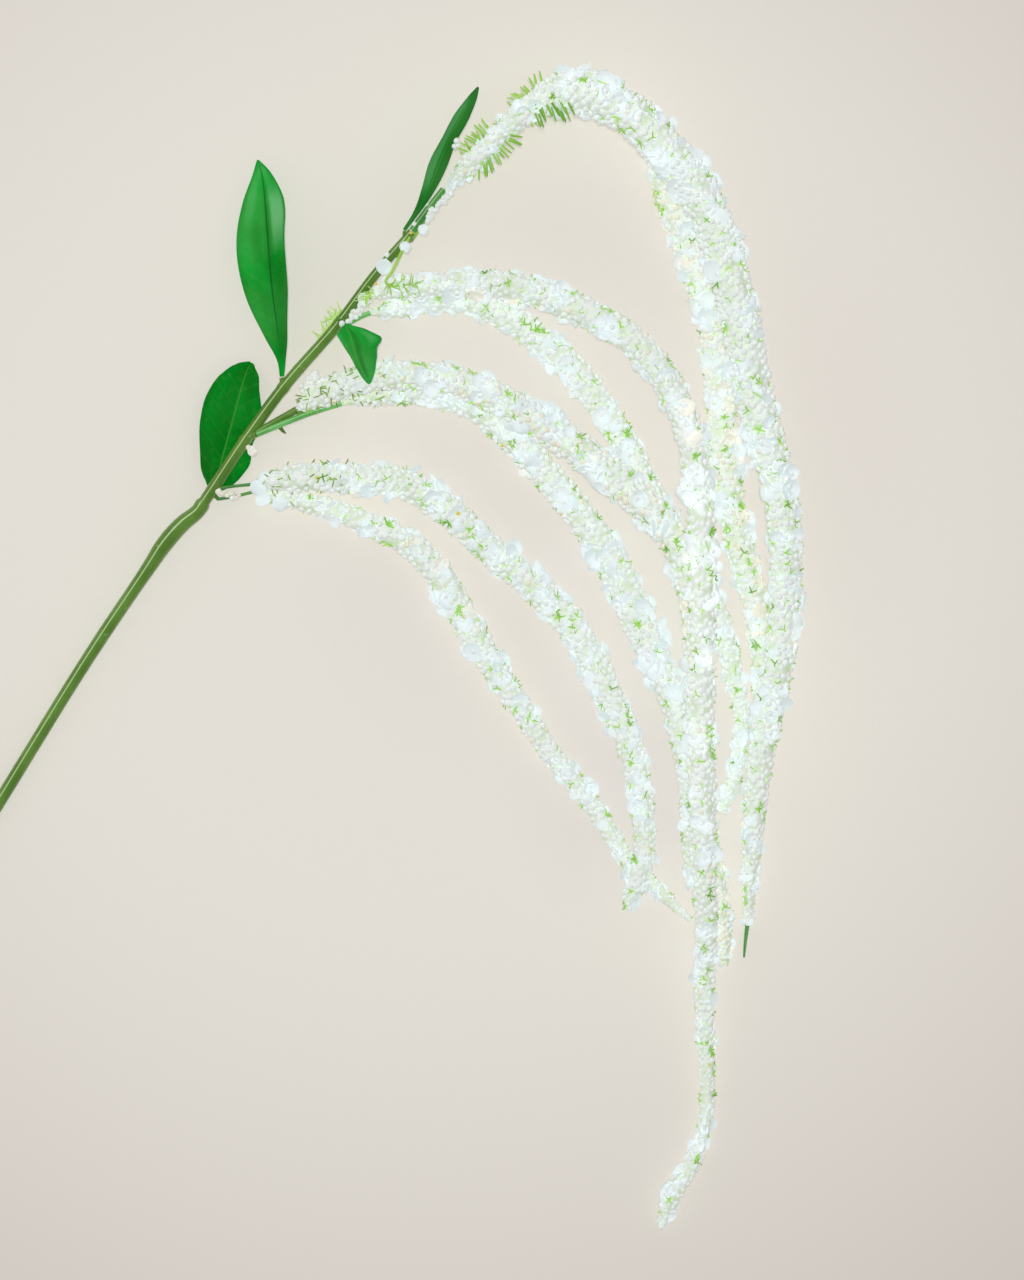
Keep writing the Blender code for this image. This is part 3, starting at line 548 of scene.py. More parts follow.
columns = range(-LEAF_COLUMNS, LEAF_COLUMNS + 1)
for name, route in LEAVES.items():
    line = smooth_line(route, LEAF_STEPS)
    deep_green, light_rib, bloom = LEAF_TONES[name]
    blade = Shape()
    walked = 0
    upper, lower, shares, phases, painted_shading = [], [], [], [], []
    for i, (station, (_, right, over)) in enumerate(zip(line, directions(line))):
        walked += dist(station[:3], line[max(i - 1, 0)][:3])
        for column in columns:
            share = abs(column) / LEAF_COLUMNS
            width, angle = (station[3], station[5]) if column < 0 else (station[4], station[6])
            rise = radians(angle) * (RISE_AT_MIDRIB + (1 - RISE_AT_MIDRIB) * share)
            side = aimed(right * copysign(1, column), over, rise)
            away = width * share
            phase = (walked - VEIN_SLANT * away) / VEIN_SPACING
            puff = VEIN_HEIGHT * cos(tau * phase) * sin(pi * share)
            groove = MIDRIB_GROOVE * exp(-((away / MIDRIB_SPREAD) ** 2))
            top = Vector(station[:3]) + side * away + over * (LEAF_THICKNESS / 2 - groove - puff)
            upper.append(top)
            lower.append(top - over * LEAF_THICKNESS)
            shares.append(copysign(share, column))
            phases.append(phase)
            up, out = i / (len(line) - 1), column / LEAF_COLUMNS
            painted_shading.append(sum(strength * within(up, low, high) * within(out, left, last)
                               for low, high, left, last, strength in LEAF_PAINTED_SHADING[name]))
    wide = len(columns)
    under = len(upper)
    faces = []
    for i in range(len(line) - 1):
        for a in range(i * wide, i * wide + wide - 1):
            b = under + a
            faces += [(a, a + 1, a + wide + 1, a + wide), (b + 1, b, b + wide, b + wide + 1)]
        a = i * wide
        faces.append((a, a + wide, under + a + wide, under + a))
        a += wide - 1
        faces.append((under + a, under + a + wide, a + wide, a))
    for a in range(wide - 1):
        faces.append((a + 1, a, under + a, under + a + 1))
    for a in range(under - wide, under - 1):
        faces.append((under + a + 1, under + a, a, a + 1))
    blade.add(upper + lower, faces, across=shares * 2, vein_phase=phases * 2, deep_green=deep_green,
              light_rib=light_rib, bloom=bloom, folded_dark=[max(tone, 0) for tone in painted_shading] * 2,
              shine=[max(-tone, 0) for tone in painted_shading] * 2)
    piece_from(blade, name + "_cloth", leaf_cloth, "leaf", name)


# Flower spikes
# Eight trailing spikes, each a wire core wrapped in green plastic stubs, with foam beads and sheer
# cloth petals glued on all round it. Routes give x, y, z and how far the florets reach.
SPIKES = {
    "spike_leader_outer": [
        (96, 124.6, 14.4, 1.6), (106, 134, 19, 7), (118, 145.8, 22.4, 8.8), (130, 156, 24, 9.7),
        (150, 163.4, 24, 10.9), (168.6, 154.6, 24, 10), (184.6, 139.6, 24, 9.6), (199.2, 119.2, 23.6, 9.5),
        (212, 80, 22.6, 9.3), (220, 40, 20.6, 9), (230.4, 0, 18.8, 8.2), (231.8, -44, 18.2, 7.4),
        (227.4, -76, 19.2, 7.2), (222.8, -100, 17.8, 6.6), (219.6, -130, 12.4, 5.1), (218, -152, 7, 4),
        (217.2, -169, 3.8, 2.2),
    ],
    "spike_leader_inner": [
        (160.4, 161.2, 5, 2.2), (177.4, 144.6, 5.2, 5.6), (186.8, 118.6, 4.8, 6.8), (195.6, 95.4, 6.2, 7.2),
        (203, 68, 6.6, 7.2), (206.4, 38, 6.6, 7.4), (210, 0, 7.2, 7.2), (214.4, -20, 6.8, 6.9),
        (220.4, -44, 6.4, 6.2), (223.6, -76, 6, 5.7), (222.8, -98, 5.6, 5.2), (219.8, -118, 4.9, 4.4),
        (218.2, -133, 3.8, 2),
    ],
    "spike_upper_long": [
        (66.6, 81.8, 15.4, 1.6), (76, 84.4, 17.5, 5.3), (90, 85.6, 18.7, 6.4), (118, 85.9, 18.9, 6.9),
        (141.4, 79.4, 19, 7), (173.4, 61.4, 21, 7.2), (191.5, 33, 26, 7), (197.6, 0, 31, 6.4),
        (198.8, -36, 33.4, 7), (198, -70, 30.4, 6.9), (198, -98, 27.8, 7), (198.6, -126, 25.2, 6.8),
        (199.6, -150, 20.6, 6.2), (200.6, -176, 13.6, 5.3), (199.8, -200, 7.8, 4.6), (200.8, -228, 4, 4.1),
        (200, -250, 2.5, 3.8), (194, -268, 3.2, 4.1), (185.8, -281, 4.9, 4.3), (182.4, -291.6, 3.8, 1.7),
    ],
    "spike_upper_inner": [
        (66.2, 75, 11, 1.5), (75, 76.8, 8.6, 4.8), (90, 80, 7, 6), (106, 79.6, 6.8, 6.2),
        (124, 71, 7.4, 6.8), (148, 51.6, 7.9, 7.3), (167, 24, 7.9, 7), (181, -2, 7.2, 6.3),
        (193, -24, 6.6, 6), (203.4, -42, 6.4, 5.8), (210.2, -64, 6, 5.3), (213.8, -80, 5, 4.4),
        (214.8, -92, 4.7, 3.9), (213.6, -104, 4.6, 3.7), (210.8, -114, 4.7, 3.8), (207, -125, 4.2, 2.2),
    ],
    "spike_middle_outer": [
        (37, 36.2, 12.8, 1.4), (41, 39, 13.6, 5), (46, 41.8, 14.4, 6.4), (58, 46.6, 15.6, 6.8),
        (74, 49.4, 17, 7), (94, 48.8, 19.6, 7.3), (118, 39.8, 22.6, 7.6), (148.8, 20.4, 22.8, 8.3),
        (173.8, -0.4, 22.8, 8.2), (188.2, -17.4, 21.6, 7.4), (194.6, -37.6, 18.8, 6.4),
        (196.6, -70, 12.2, 5.8), (197.2, -96, 8, 5.5), (198.8, -118, 6.5, 5.2), (202.4, -144, 6, 5.1),
        (206.6, -164, 5.6, 4.8), (208, -180, 4.6, 3.2), (208.2, -186, 4, 1.8),
    ],
    "spike_middle_inner": [
        (54.6, 38.8, 7.8, 1.4), (66, 41.8, 6.2, 5.2), (86, 43.2, 6.6, 6.6), (106, 38, 7, 6.6),
        (122, 26, 7.6, 7.2), (140, 6, 8, 7.6), (158, -16.6, 8.6, 8), (170, -40, 10, 8.3),
        (178.6, -60, 13.4, 7.6), (185.4, -76, 16.2, 6.4), (190.6, -96, 17.1, 5.5), (193.2, -116, 15.2, 4.7),
        (194, -134, 13.3, 4.3), (194.4, -148, 11.4, 3.2), (194, -153, 10.6, 1.6),
    ],
    "spike_lower_outer": [
        (18.4, 6.3, 10.5, 1.3), (27, 7.8, 12.6, 4.8), (40, 8.9, 13.9, 6.8), (62, 8.6, 12.6, 7.2),
        (80, 6.4, 10.6, 7.2), (95, -2.4, 9.2, 7.6), (110, -16, 8.6, 7.3), (134, -37, 8.2, 7.1),
        (151, -57, 8.2, 7.2), (163.4, -82, 9, 6.9), (171.4, -103.8, 12.4, 6.4), (174.8, -122, 15.6, 5.7),
        (175.8, -140, 16.4, 5.2), (172.4, -153, 15.4, 5.1), (169.8, -163.4, 14.6, 3),
    ],
    "spike_lower_inner": [
        (19.4, 3.3, 7.4, 1.3), (29, 1.7, 5.6, 4), (44, -1.8, 5.8, 5), (62, -8, 6.2, 5.8),
        (78, -15.6, 6.2, 6.6), (92.4, -28.2, 4.7, 7.4), (103.2, -46.8, 6.4, 7), (113.8, -64.4, 6.8, 6.5),
        (124.6, -81, 6.4, 5.9), (138.2, -100.6, 5.8, 5.2), (151.4, -117.4, 5.4, 4.8),
        (162.4, -133.4, 5, 4.6), (172, -147.2, 4.7, 4.2), (182.6, -157.4, 4.5, 3.6), (194, -168, 3.8, 1.6),
    ],
}
FINE_STEPS = 60
STATION_GAP = 1
REST_GAP = 0.12
CORE_SHARE = 0.70
CORE_SIDES = 16
LARGEST_BEAD = 1.46
BEAD_SPACING = 1.92
BEAD_TRIES = 1.1
BALL_SIDES = 7
BALL_RINGS = 5
BALL_KINDS = 16
PETAL_SIDES = 10
PETAL_THICKNESS = 0.14
LARGEST_PETAL = 4.3
PETAL_SPACING = 3.3
PETAL_TRIES = 0.25
PETAL_ROOM = 0.88
PETALS_AFTER = 0.8
SPROUT_SPACING = 6.8
SPROUT_TRIES = 0.08
GROUPED_ABOVE = 0.74
STUB_RADIUS = 0.37
STUB_SIDES = 3
STUB_REACHES = ((0, 1), (0.8, 0.9), (1, 0.3))
LOWEST_ROOT = 0.8
SPECK_CHANCE = 0.0016
SPECK_SIZE = 0.6
GREEN_GLOW_REACH = 2.4
NEIGHBOUR_RANGE = 12
NEIGHBOUR_SHARE = 0.92
SUNK_SHARE = 0.6
SEARCH_CELL = 3
# What sets some spikes apart: how cream the florets are at the start and the end, how many stations
# of the start have darker, olive stubs, and how many bare ones stick out there.
TRAITS = {
    "spike_leader_inner": (0.42, 0.34, 0, 0),
    "spike_upper_long": (0.06, 0.02, 0, 0),
    "spike_middle_outer": (0.05, 0.5, 26, 40),
    "spike_middle_inner": (0.03, 0.02, 24, 18),
    "spike_lower_outer": (0.03, 0.02, 36, 22),
    "spike_lower_inner": (0.03, 0.02, 20, 8),
}
PLAIN_TRAITS = (0.03, 0.02, 0, 0)
# Combs of blunt needles stand out where the leader starts, and it is slimmer there: a comb's first
# and last station, its side, left or right, how far up that side it is rooted in degrees and as a
# share of the reach, how the needles fan out, how many there are, how long, and how deep a green.
COMBS = {
    "spike_leader_outer": [
        (15, 26, -1, 24, 0.80, (-34, 24), 8, 5.9, 0.2),
        (14, 31, 1, 34, 0.80, (-54, 36), 14, 5.8, 0.4),
        (39, 50, -1, 18, 0.92, (-50, 22), 8, 4.4, 0.1),
        (42, 56, 1, 62, 0.96, (-14, 12), 12, 6.2, 0.8),
    ],
}
COMB_REACHES = ((0, 1), (0.5, 0.96), (0.86, 0.8), (1, 0.34))
COMB_RADIUS = 0.5
COMB_DROOP = 0.5
SLIM_START = {"spike_leader_outer": (60, 0.60)}


def bead_size(reach):
    """Beads are smaller where a spike is thin."""
    return min(LARGEST_BEAD, 0.25 + 0.21 * reach)


def petal_spacing(reach):
    return PETAL_SPACING * min(1, 0.35 + 0.1 * reach)


def even_stations(name, route):
    """Stations at an even spacing along a route's smooth line."""
    picked = []
    walked = STATION_GAP
    dense = smooth_line(route, FINE_STEPS)
    for here, after in zip(dense, dense[1:]):
        if walked >= STATION_GAP:
            picked.append(here)
            walked = 0
        walked += dist(here[:3], after[:3])
    picked.append(dense[-1])
    length, slimmed = SLIM_START.get(name, (0, 1))
    for k, station in enumerate(picked):
        if k * STATION_GAP < length:
            station[3] *= 1 - (1 - slimmed) * sin(pi * k * STATION_GAP / length)
    return picked


def unit_ball(draw):
    """Corners of a small ball, turned any way and a little squashed, as cut foam is."""
    squash = draw.uniform(0.82, 1)
    turned = Matrix.Rotation(draw.uniform(0, tau), 3, Vector((draw.gauss(0, 1), draw.gauss(0, 1), 0.3)))
    corners = [Vector((0, 0, squash))]
    for ring, j in product(range(1, BALL_RINGS), range(BALL_SIDES)):
        polar = pi * ring / BALL_RINGS
        angle = tau * j / BALL_SIDES
        corners.append(Vector((sin(polar) * cos(angle), sin(polar) * sin(angle), cos(polar) * squash)))
    corners.append(Vector((0, 0, -squash)))
    return [turned @ corner for corner in corners]


ball_faces = []
for j in range(BALL_SIDES):
    k = (j + 1) % BALL_SIDES
    ball_faces.append((0, 1 + j, 1 + k))
    for a in range(1, 1 + (BALL_RINGS - 2) * BALL_SIDES, BALL_SIDES):
        ball_faces.append((a + j, a + BALL_SIDES + j, a + BALL_SIDES + k, a + k))
    a += BALL_SIDES
    ball_faces.append((a + k, a + j, a + BALL_SIDES))
ball_draw = random.Random("foam beads")
balls = [unit_ball(ball_draw) for _ in range(BALL_KINDS)]

petal_faces = []
inner, outer, under = 1, 1 + PETAL_SIDES, 1 + 2 * PETAL_SIDES
for j in range(PETAL_SIDES):
    k = (j + 1) % PETAL_SIDES
    petal_faces += [
        (0, inner + j, inner + k),
        (inner + j, outer + j, outer + k, inner + k),
        (under, under + inner + k, under + inner + j),
        (under + inner + k, under + outer + k, under + outer + j, under + inner + j),
        (outer + j, under + outer + j, under + outer + k, outer + k),
    ]


def petal(draw, middle, facing, size):
    """Corners of one cupped round petal with a wavy rim, its upper side first."""
    u = Matrix.Rotation(draw.uniform(0, tau), 3, facing) @ facing.orthogonal().normalized()
    v = facing.cross(u)
    cup = draw.uniform(-0.35, 0.55) * size
    waves = draw.choice((2, 3, 3, 4))
    wave = draw.uniform(0.05, 0.2) * size
    phase = draw.uniform(0, 6.28)
    long = draw.uniform(0.92, 1.12)
    corners = [middle.copy()]
    for share, j in product((0.56, 1), range(PETAL_SIDES)):
        angle = tau * j / PETAL_SIDES
        reach = size * share * (1 + 0.05 * sin(waves * angle + phase))
        lift = cup * share * share + wave * share * share * sin(waves * angle + phase * 2)
        corners.append(middle + u * (cos(angle) * reach * long) + v * (sin(angle) * reach) + facing * lift)
    return corners + [corner - facing * PETAL_THICKNESS for corner in corners]


# Deeper parts of the foam and sheer cloth are painted darker and greener: partly the green core
# showing through, partly painted shade between the florets. Beads are mostly white, some cream and a
# very few orange, and the highest florets are painted lighter, a painted highlight on their tops.
florets, given, result = new_group(
    "floret_tint",
    {"White": (229, 234, 232), "Cream": (230, 226, 210), "Deep": (218, 230, 208)},
    {"Colour": "Color"},
)
cream_mark = attribute(florets, "cream")
toned = mixed(florets, eased(florets, cream_mark, 0, 0.7), given["White"], given["Cream"])
toned = mixed(florets, eased(florets, cream_mark, 0.92, 0.97), toned, (224, 200, 96))
# Painted shade: the deeper a corner lies, the darker and greener it is painted.
toned = mixed(florets, eased(florets, attribute(florets, "depth"), 0.24, 0.62), toned, given["Deep"])
height = add_node(florets, "SeparateXYZ", _0=place_on(florets)).outputs[2]
# Painted highlight: florets high above the floor are painted lighter.
painted_top_light = times(florets, eased(florets, height, 0.028, 0.038), 0.5)
connect(result, Colour=mixed(florets, painted_top_light, toned, (248, 252, 250)))

foam, tree, shader = new_material("white_foam_bead", 0.8)
connect(shader, Base_Color=use_group(tree, florets)["Colour"])
emboss(shader, noisy(tree, 1600), 0.08, 0.5)

# The petals are made to glow faintly, a painted glow that stands in for light coming through the
# thin cloth from behind.
sheer, tree, shader = new_material("sheer_petal_cloth", 0.55)
tint = use_group(tree, florets, White=(223, 232, 234), Cream=(234, 230, 218), Deep=(218, 230, 218))
connect(shader, Base_Color=tint["Colour"], Emission_Color=tint["Colour"], Emission_Strength=0.07,
        Sheen_Weight=0.25, Alpha=0.74)
emboss(shader, noisy(tree, 2400), 0.05, 0.4)

core_foam, tree, shader = new_material("spike_inner_foam", 0.8)
pale = mixed(tree, eased(tree, noisy(tree, 160), 0.35, 0.65), (214, 228, 202), (230, 236, 230))
green_share = eased(tree, attribute(tree, "green"), 0.1, 0.9)
connect(shader, Base_Color=mixed(tree, green_share, pale, (120, 178, 62)))
pebbles = add_node(tree, "TexVoronoi", Vector=place_on(tree), Scale=420).outputs["Distance"]
emboss(shader, math_node(tree, "SUBTRACT", 1, pebbles), 1, 0.6)

# The stubs run from a bright yellow green to a deep one, and are olive where a spike starts.
stub_plastic, tree, shader = new_material("green_stub_plastic", 0.5)
tone = mixed(tree, attribute(tree, "deep"), (158, 212, 86), (96, 156, 40))
tone = mixed(tree, attribute(tree, "olive"), tone, (110, 116, 44))
tone = mixed(tree, attribute(tree, "faint"), tone, (204, 232, 168))
skin = use_group(tree, moulded, Base=tone, Drift=mixed(tree, 0.3, tone, (196, 226, 140)),
                 Scuff=(206, 228, 160), Scuffing=0.2)
connect(shader, Base_Color=skin["Colour"], Roughness=skin["Roughness"])

stations = {name: even_stations(name, route) for name, route in SPIKES.items()}
owners = [(name, *station) for name, line in stations.items() for station in line]
others = kdtree.KDTree(len(owners))
for number, (_, *middle, _) in enumerate(owners):
    others.insert(middle, number)
others.balance()


def crowded(point, own):
    """Whether a point lies within the reach of another spike."""
    return any(owners[number][0] != own and distance < owners[number][4] * NEIGHBOUR_SHARE
               for _, number, distance in others.find_range(point, NEIGHBOUR_RANGE))


def spread(name, spacing, tries, draw):
    """Places on a spike, each a station number and a way out, of so many tries per square millimetre."""
    ways = directions(stations[name])
    radii = [station[3] for station in stations[name]]
    area = sum(tau * radius * STATION_GAP for radius in radii)
    taken = {}
    found = []
    for i in draw.choices(range(len(radii)), radii, k=int(area * tries)):
        out = aimed(*ways[i][1:], draw.uniform(0, tau))
        gap = spacing(radii[i])
        spot = Vector(stations[name][i][:3]) + out * radii[i]
        if spot.z < -SUNK_SHARE * radii[i]:
            continue
        x, y, z = (int(c // SEARCH_CELL) for c in spot)
        steps = (-1, 0, 1) if gap <= SEARCH_CELL else (-2, -1, 0, 1, 2)
        near = (taken.get((x + a, y + b, z + c), ()) for a in steps for b in steps for c in steps)
        if not any((spot - there).length < gap for group in near for there in group):
            taken.setdefault((x, y, z), []).append(spot)
            found.append((i, out))
    return found


for name, line in stations.items():
    draw = random.Random(name)
    ways = directions(line)
    axes = [Vector(station[:3]) for station in line]
    radii = [station[3] for station in line]
    cream, end_cream, olive_length, bare_count = TRAITS.get(name, PLAIN_TRAITS)
    creams = [cream + (end_cream - cream) * i / len(line) for i in range(len(line))]

    # Where the beads part and a small star of stubs shows between them: its strength and how wide
    # the beads part. The strongest stand in groups of two or three.
    sprouts = []
    for i, out in spread(name, lambda radius: SPROUT_SPACING, SPROUT_TRIES, draw):
        strength = draw.random() ** 1.15
        sprouts.append((i, out, strength, 0.7 + 1.1 * strength))
    grouped = random.Random(name + " groups")
    for i, out, strength, clearing in sprouts[:]:
        for _ in range(grouped.randint(1, 2) if strength > GROUPED_ABOVE else 0):
            i = min(max(i + grouped.randint(-3, 3), 0), len(line) - 1)
            out = (out + ways[i][0].cross(out) * grouped.uniform(-2.4, 2.4) / radii[i]).normalized()
            sprouts.append((i, out, strength * grouped.uniform(0.3, 0.8), clearing * 0.7))
    centres = kdtree.KDTree(len(sprouts))
    for number, (i, out, _, _) in enumerate(sprouts):
        centres.insert(axes[i] + out * (radii[i] * 0.85), number)
    centres.balance()

    core = Shape(green=[])
    knots = []
    for (x, y, z, radius), axis in zip(line[::2], axes[::2]):
        swell = CORE_SHARE + 0.12 * noise.noise(axis * 0.35)
        knots.append((x, y, max(z, radius * swell + REST_GAP), max(radius * swell, 0.5)))
    add_tube(core, knots, CORE_SIDES)
    for vertex in core.vertices:
        _, number, distance = centres.find(vertex)
        core.marks["green"].append(sprouts[number][2] * max(0, 1 - distance / GREEN_GLOW_REACH))
    piece_from(core, name + "_core", core_foam, "floret", name)

    beads = Shape()
    for i, out in spread(name, lambda radius: BEAD_SPACING * bead_size(radius), BEAD_TRIES, draw):
        radius = radii[i]
        size = bead_size(radius) * draw.uniform(0.84, 1.06)
        clump = noise.noise((axes[i] + out * radius) * 0.16)
        reach = max(radius * (0.95 + 0.12 * clump) - size - draw.uniform(0, 0.12) * radius, 0.2)
        middle = axes[i] + out * reach
        middle.z = max(middle.z, size + REST_GAP)
        _, number, distance = centres.find(middle)
        if distance < sprouts[number][3]:
            continue
        shade = draw.uniform(0.3, 0.8) if draw.random() < creams[i] else draw.uniform(0, 0.12)
        if draw.random() < SPECK_CHANCE:
            shade = 1
            size *= SPECK_SIZE
        ball = draw.choice(balls)
        # How deep each corner lies, which sets its painted shade.
        depth = [max(0, 1 - (reach + size * corner.dot(out)) / radius) for corner in ball]
        beads.add([middle + corner * size for corner in ball], ball_faces, cream=shade, depth=depth)
    piece_from(beads, name + "_beads", foam, "floret", name)

    # Petals and beads lie in patches, so that some clusters are all beads.
    petals = Shape()
    for i, out in spread(name, petal_spacing, PETAL_TRIES, draw):
        radius = radii[i]
        along = ways[i][0]
        if noise.noise((axes[i] + out * radius) * 0.10 + UP * 7) < 0.02 or i < olive_length * PETALS_AFTER:
            continue
        size = min(LARGEST_PETAL, 1.1 + 0.42 * radius) * draw.uniform(0.62, 1.05)
        facing = (out + (along * draw.gauss(0, 0.5) + along.cross(out) * draw.gauss(0, 0.5))).normalized()
        middle = axes[i] + out * (radius * draw.uniform(0.70, PETAL_ROOM)) - facing * 0.4
        _, number, distance = centres.find(middle)
        if crowded(middle + out * (size * 0.5), name) or distance < sprouts[number][3] + size * 0.35:
            continue
        corners = petal(draw, middle, facing, size)
        for corner in corners:
            corner.z = max(corner.z, REST_GAP)
        shade = draw.uniform(0.35, 0.85) if draw.random() < creams[i] * 0.8 else draw.uniform(0, 0.15)
        # How deep each corner lies, which sets its painted shade.
        depth = [max(0, 1 - (corner - axes[i]).length / radius) * 0.7 for corner in corners]
        petals.add(corners, petal_faces, cream=shade, depth=depth)
    piece_from(petals, name + "_petals", sheer, "floret", name)

    # Each sprout is a small star of stubs that lie between the beads. Where some spikes start, bare
    # olive ones stick out all round.
    stubs = Shape()
    arms = []
    for i, out, strength, _ in sprouts:
        tones = {"deep": draw.random() ** 2.2, "olive": max(0, 1 - i / (olive_length + 1))}
        tones["faint"] = max(0, 1 - strength / 0.4) * draw.uniform(0.4, 1)
        count = round(1.2 + 4 * strength)
        first = draw.uniform(0, tau)
        for k in range(count):
            around = first + tau * (k + draw.uniform(-0.4, 0.4)) / count
            arms.append((i, out, around, draw.uniform(0.3, 0.9), draw.uniform(1.3, 3.2), 0.70, tones))
    for _ in range(bare_count):
        i = draw.randrange(3, olive_length)
        out = aimed(*ways[i][1:], draw.uniform(0, pi))
        arms.append((i, out, draw.uniform(0, tau), draw.uniform(0.4, 1.4), draw.uniform(2.4, 4), 0.72,
                     {"olive": draw.uniform(0.3, 1), "deep": 0.5, "faint": 0}))
    for first, last, side, lift, depth, (fan, fanned), count, length, deep in COMBS.get(name, ()):
        for k in range(count):
            share = (k + draw.uniform(0.2, 0.8)) / count
            spot = round(first + (last - first) * share)
            along, right, over = ways[spot]
            rise = radians(lift + draw.uniform(-14, 14))
            root = aimed(right * side, over, rise) * (radii[spot] * depth)
            sweep = radians(fan + (fanned - fan) * share + draw.uniform(-9, 9))
            way = aimed(right * side, along, sweep) + UP * draw.uniform(-0.1, 0.16)
            add_needle(stubs, axes[spot] + root, way.normalized(), length * draw.uniform(0.85, 1.05),
                       COMB_RADIUS * draw.uniform(0.85, 1.1), COMB_DROOP, COMB_REACHES, NEEDLE_SIDES,
                       deep=min(1, deep * draw.uniform(0.6, 1.3)), olive=0, faint=0)
    for i, out, around, outward, length, depth, tones in arms:
        along = ways[i][0]
        way = (aimed(along, along.cross(out), around) + out * outward).normalized()
        root = axes[i] + out * (radii[i] * depth)
        root.z = max(root.z, LOWEST_ROOT)
        length *= min(1, radii[i] / 6)
        if root.z + way.z * length < LOWEST_ROOT:
            way.z = (LOWEST_ROOT - root.z) / length
        slim = STUB_RADIUS * draw.uniform(0.8, 1.15)
        add_needle(stubs, root, way, length, slim, 0, STUB_REACHES, STUB_SIDES, **tones)
    piece_from(stubs, name + "_stubs", stub_plastic, "floret", name)

# A few loose florets stick to the upper stem: x, y, z, size and how cream. The large ones are petals.
LOOSE_FLORETS = [
    (71.6, 93.2, 16.8, 3.2, 0), (87.4, 108, 16.4, 2.4, 0.1), (19, 19.6, 13.4, 2, 0.5),
    (21.2, 4.8, 13.4, 3.4, 0), (24.6, 8.2, 14.8, 3.2, 0), (23, 0.2, 9.6, 3.2, 0), (30, -1.4, 9.8, 3.4, 0),
    (72.8, 98, 15.8, 1.2, 0), (83.6, 110.4, 16, 1.1, 0.1), (88.4, 118.4, 16.6, 1.2, 0.1),
    (81.6, 100.8, 15.6, 1.3, 0.2), (58, 71.6, 14.6, 1.2, 0), (54.8, 70, 15.6, 1.1, 0.3),
    (17.4, 21, 12.8, 1.2, 0.6), (19.6, 18.4, 12.6, 1, 0.6), (5.6, 3.6, 12.6, 1.2, 0.4),
    (10.8, 0.6, 11.8, 1.2, 0.2), (82.4, 106.8, 15.9, 0.7, 1), (68.4, 86.4, 15.4, 0.7, 1),
    (63.4, 80.4, 16.6, 2.4, 0), (77.4, 85, 26.8, 2.6, 0), (54.9, 70.4, 20.9, 1.3, 0.1),
    (57.3, 71.2, 20.4, 1.2, 0.1), (80.8, 99.6, 17.4, 1.3, 0), (80, 101.6, 17.2, 2.2, 0),
    (100.8, 143.2, 22.4, 1.4, 0.2), (99.8, 141, 21.6, 1.3, 0.1), (101.4, 141.6, 21.6, 1.1, 0.1),
    (83.6, 84.4, 27.6, 2.2, 0), (75.6, 87, 26, 1.3, 0), (80.6, 86.8, 27.8, 1.2, 0),
]
SMALLEST_PETAL = 2
# More beads crowd along the right of the leader's stalk, where the upper and middle spikes leave the
# stem and, in cream, on the lower stalks. Both ends of each crowd, how far it spreads sideways, how
# many beads it has and how cream they are.
CROWDS = [
    ((88.2, 111.6, 14.2), (99.6, 124.6, 15), 1.9, 46, 0.1),
    ((58.4, 73, 14.6), (65.6, 79, 15.4), 2.2, 20, 0.1),
    ((38.4, 44, 14.4), (46, 50, 15), 2.4, 20, 0.2),
    ((4.8, 3.4, 12.4), (14, 1.4, 11.4), 1, 10, 0.6),
]
draw = random.Random("loose florets")
for start, end, width, count, cream in CROWDS:
    start, end = Vector(start), Vector(end)
    side = (end - start).cross(UP).normalized()
    for k in range(count):
        share = (k + 0.5) / count
        spot = start.lerp(end, share) + side * draw.uniform(-1, 1) * width * (0.5 + 0.5 * share)
        spot.z += draw.uniform(-1.5, 2.2)
        LOOSE_FLORETS.append((*spot, draw.uniform(0.8, 1.3), cream))
petals = Shape()
beads = Shape()
for *middle, size, cream in LOOSE_FLORETS:
    middle = Vector(middle)
    if size >= SMALLEST_PETAL:
        facing = Vector((draw.gauss(0, 0.25), draw.gauss(0, 0.25), 1)).normalized()
        petals.add(petal(draw, middle, facing, size), petal_faces, cream=cream, depth=0)
    else:
        corners = [middle + corner * size for corner in draw.choice(balls)]
        beads.add(corners, ball_faces, cream=cream, depth=0)
piece_from(petals, "loose_stem_petals", sheer, "floret")
piece_from(beads, "loose_stem_beads", foam, "floret")


# Floor, lights and camera
# A pale beige paper floor in soft, nearly shadowless studio light, seen from straight above through
# a long lens.
FLOOR_HALF = 8
VIEW_HEIGHT_MM = 512
VIEW_MIDDLE = Vector((0.1029, 0.0131, 0.012))
CAMERA_DISTANCE = 5
SENSOR = 36
# A pool of light is painted on the paper, so that it darkens far from the spray, and painted shade
# lies under the spikes. Each tone has its middle, where it begins and stops to fade into the one
# before it, and its colour.
FAR_PAPER = (199, 191, 184)
PAPER_LIGHT_AND_SHADE = [
    ((0.074, 0.061, 0), (0.14, 0.50), (228, 223, 214)),
    ((0.142, 0.095, 0), (0.06, 0.165), (221, 214, 207)),
    ((0.160, -0.045, 0), (0.01, 0.07), (217, 210, 206)),
]
WORLD_STRENGTH = 0.31
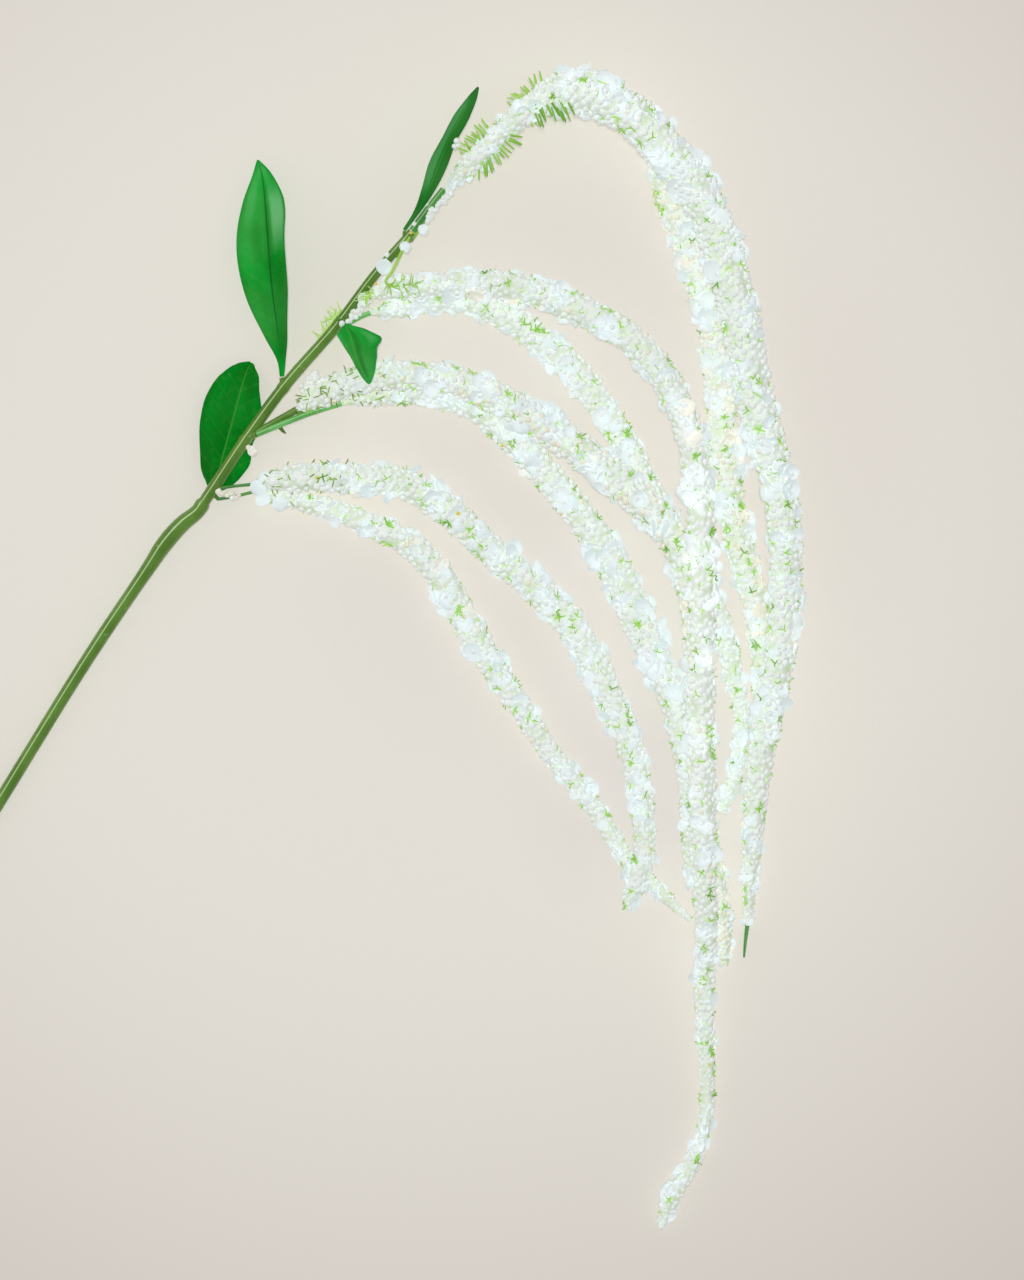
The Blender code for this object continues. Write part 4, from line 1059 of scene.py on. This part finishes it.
# Suns, each its tilt from straight down, its bearing and its strength. Only the first casts shadows,
# straight below what it lights.
EVEN_FILLS = [(0, 0, 0.74), (62, 225, 0.74), (62, 135, 0.64), (62, 315, 0.64), (62, 45, 0.48)]
KEY_PLACE = (-1.9, 1.75, 2.2)
KEY_SIZE = 0.95
KEY_POWER = 17

paper, tree, shader = new_material("beige_paper", 0.9)
toned = FAR_PAPER
# Painted light and shade: a pool of light near the spray, then two patches of shade under the spikes.
for middle, reach, tone in PAPER_LIGHT_AND_SHADE:
    away = add_node(tree, "VectorMath", operation="DISTANCE", _0=place_on(tree), _1=middle)
    toned = mixed(tree, eased(tree, away.outputs["Value"], *reach), tone, toned)
fibres = times(tree, noisy(tree, 260, 3), 0.06)
connect(shader, Base_Color=mixed(tree, fibres, toned, (196, 190, 180)))
mesh = bpy.data.meshes.new("floor")
corners = [(x * FLOOR_HALF, y * FLOOR_HALF, 0) for x, y in ((-1, -1), (1, -1), (1, 1), (-1, 1))]
mesh.from_pydata(corners, [], [(0, 1, 2, 3)])
mesh.materials.append(paper)
floor = new_object("floor", mesh)

world = bpy.data.worlds.new("studio")
world.use_nodes = True
connect(world.node_tree.nodes["Background"], Color=(255, 255, 255), Strength=WORLD_STRENGTH)
bpy.context.scene.world = world

for number, (tilt, bearing, strength) in enumerate(EVEN_FILLS):
    sun = bpy.data.lights.new(f"even_fill_{number}", "SUN")
    sun.energy = strength
    sun.use_shadow = tilt == 0
    fill_light = new_object(f"even_fill_{number}", sun)
    fill_light.visible_glossy = False
    fill_light.rotation_euler = (radians(tilt), 0, radians(bearing))

softbox = bpy.data.lights.new("key_softbox", "AREA")
softbox.size = KEY_SIZE
softbox.energy = KEY_POWER
softbox.use_shadow = False
key_light = new_object("key_softbox", softbox)
key_light.location = KEY_PLACE
key_light.rotation_euler = (VIEW_MIDDLE - key_light.location).to_track_quat("-Z", "Y").to_euler()

lens = bpy.data.cameras.new("overhead_camera")
lens.sensor_width = SENSOR
lens.lens = SENSOR * CAMERA_DISTANCE / (VIEW_HEIGHT_MM * MM)
camera = new_object("overhead_camera", lens)
camera.location = VIEW_MIDDLE + UP * CAMERA_DISTANCE
bpy.context.scene.camera = camera
bpy.context.scene.view_settings.view_transform = "Standard"
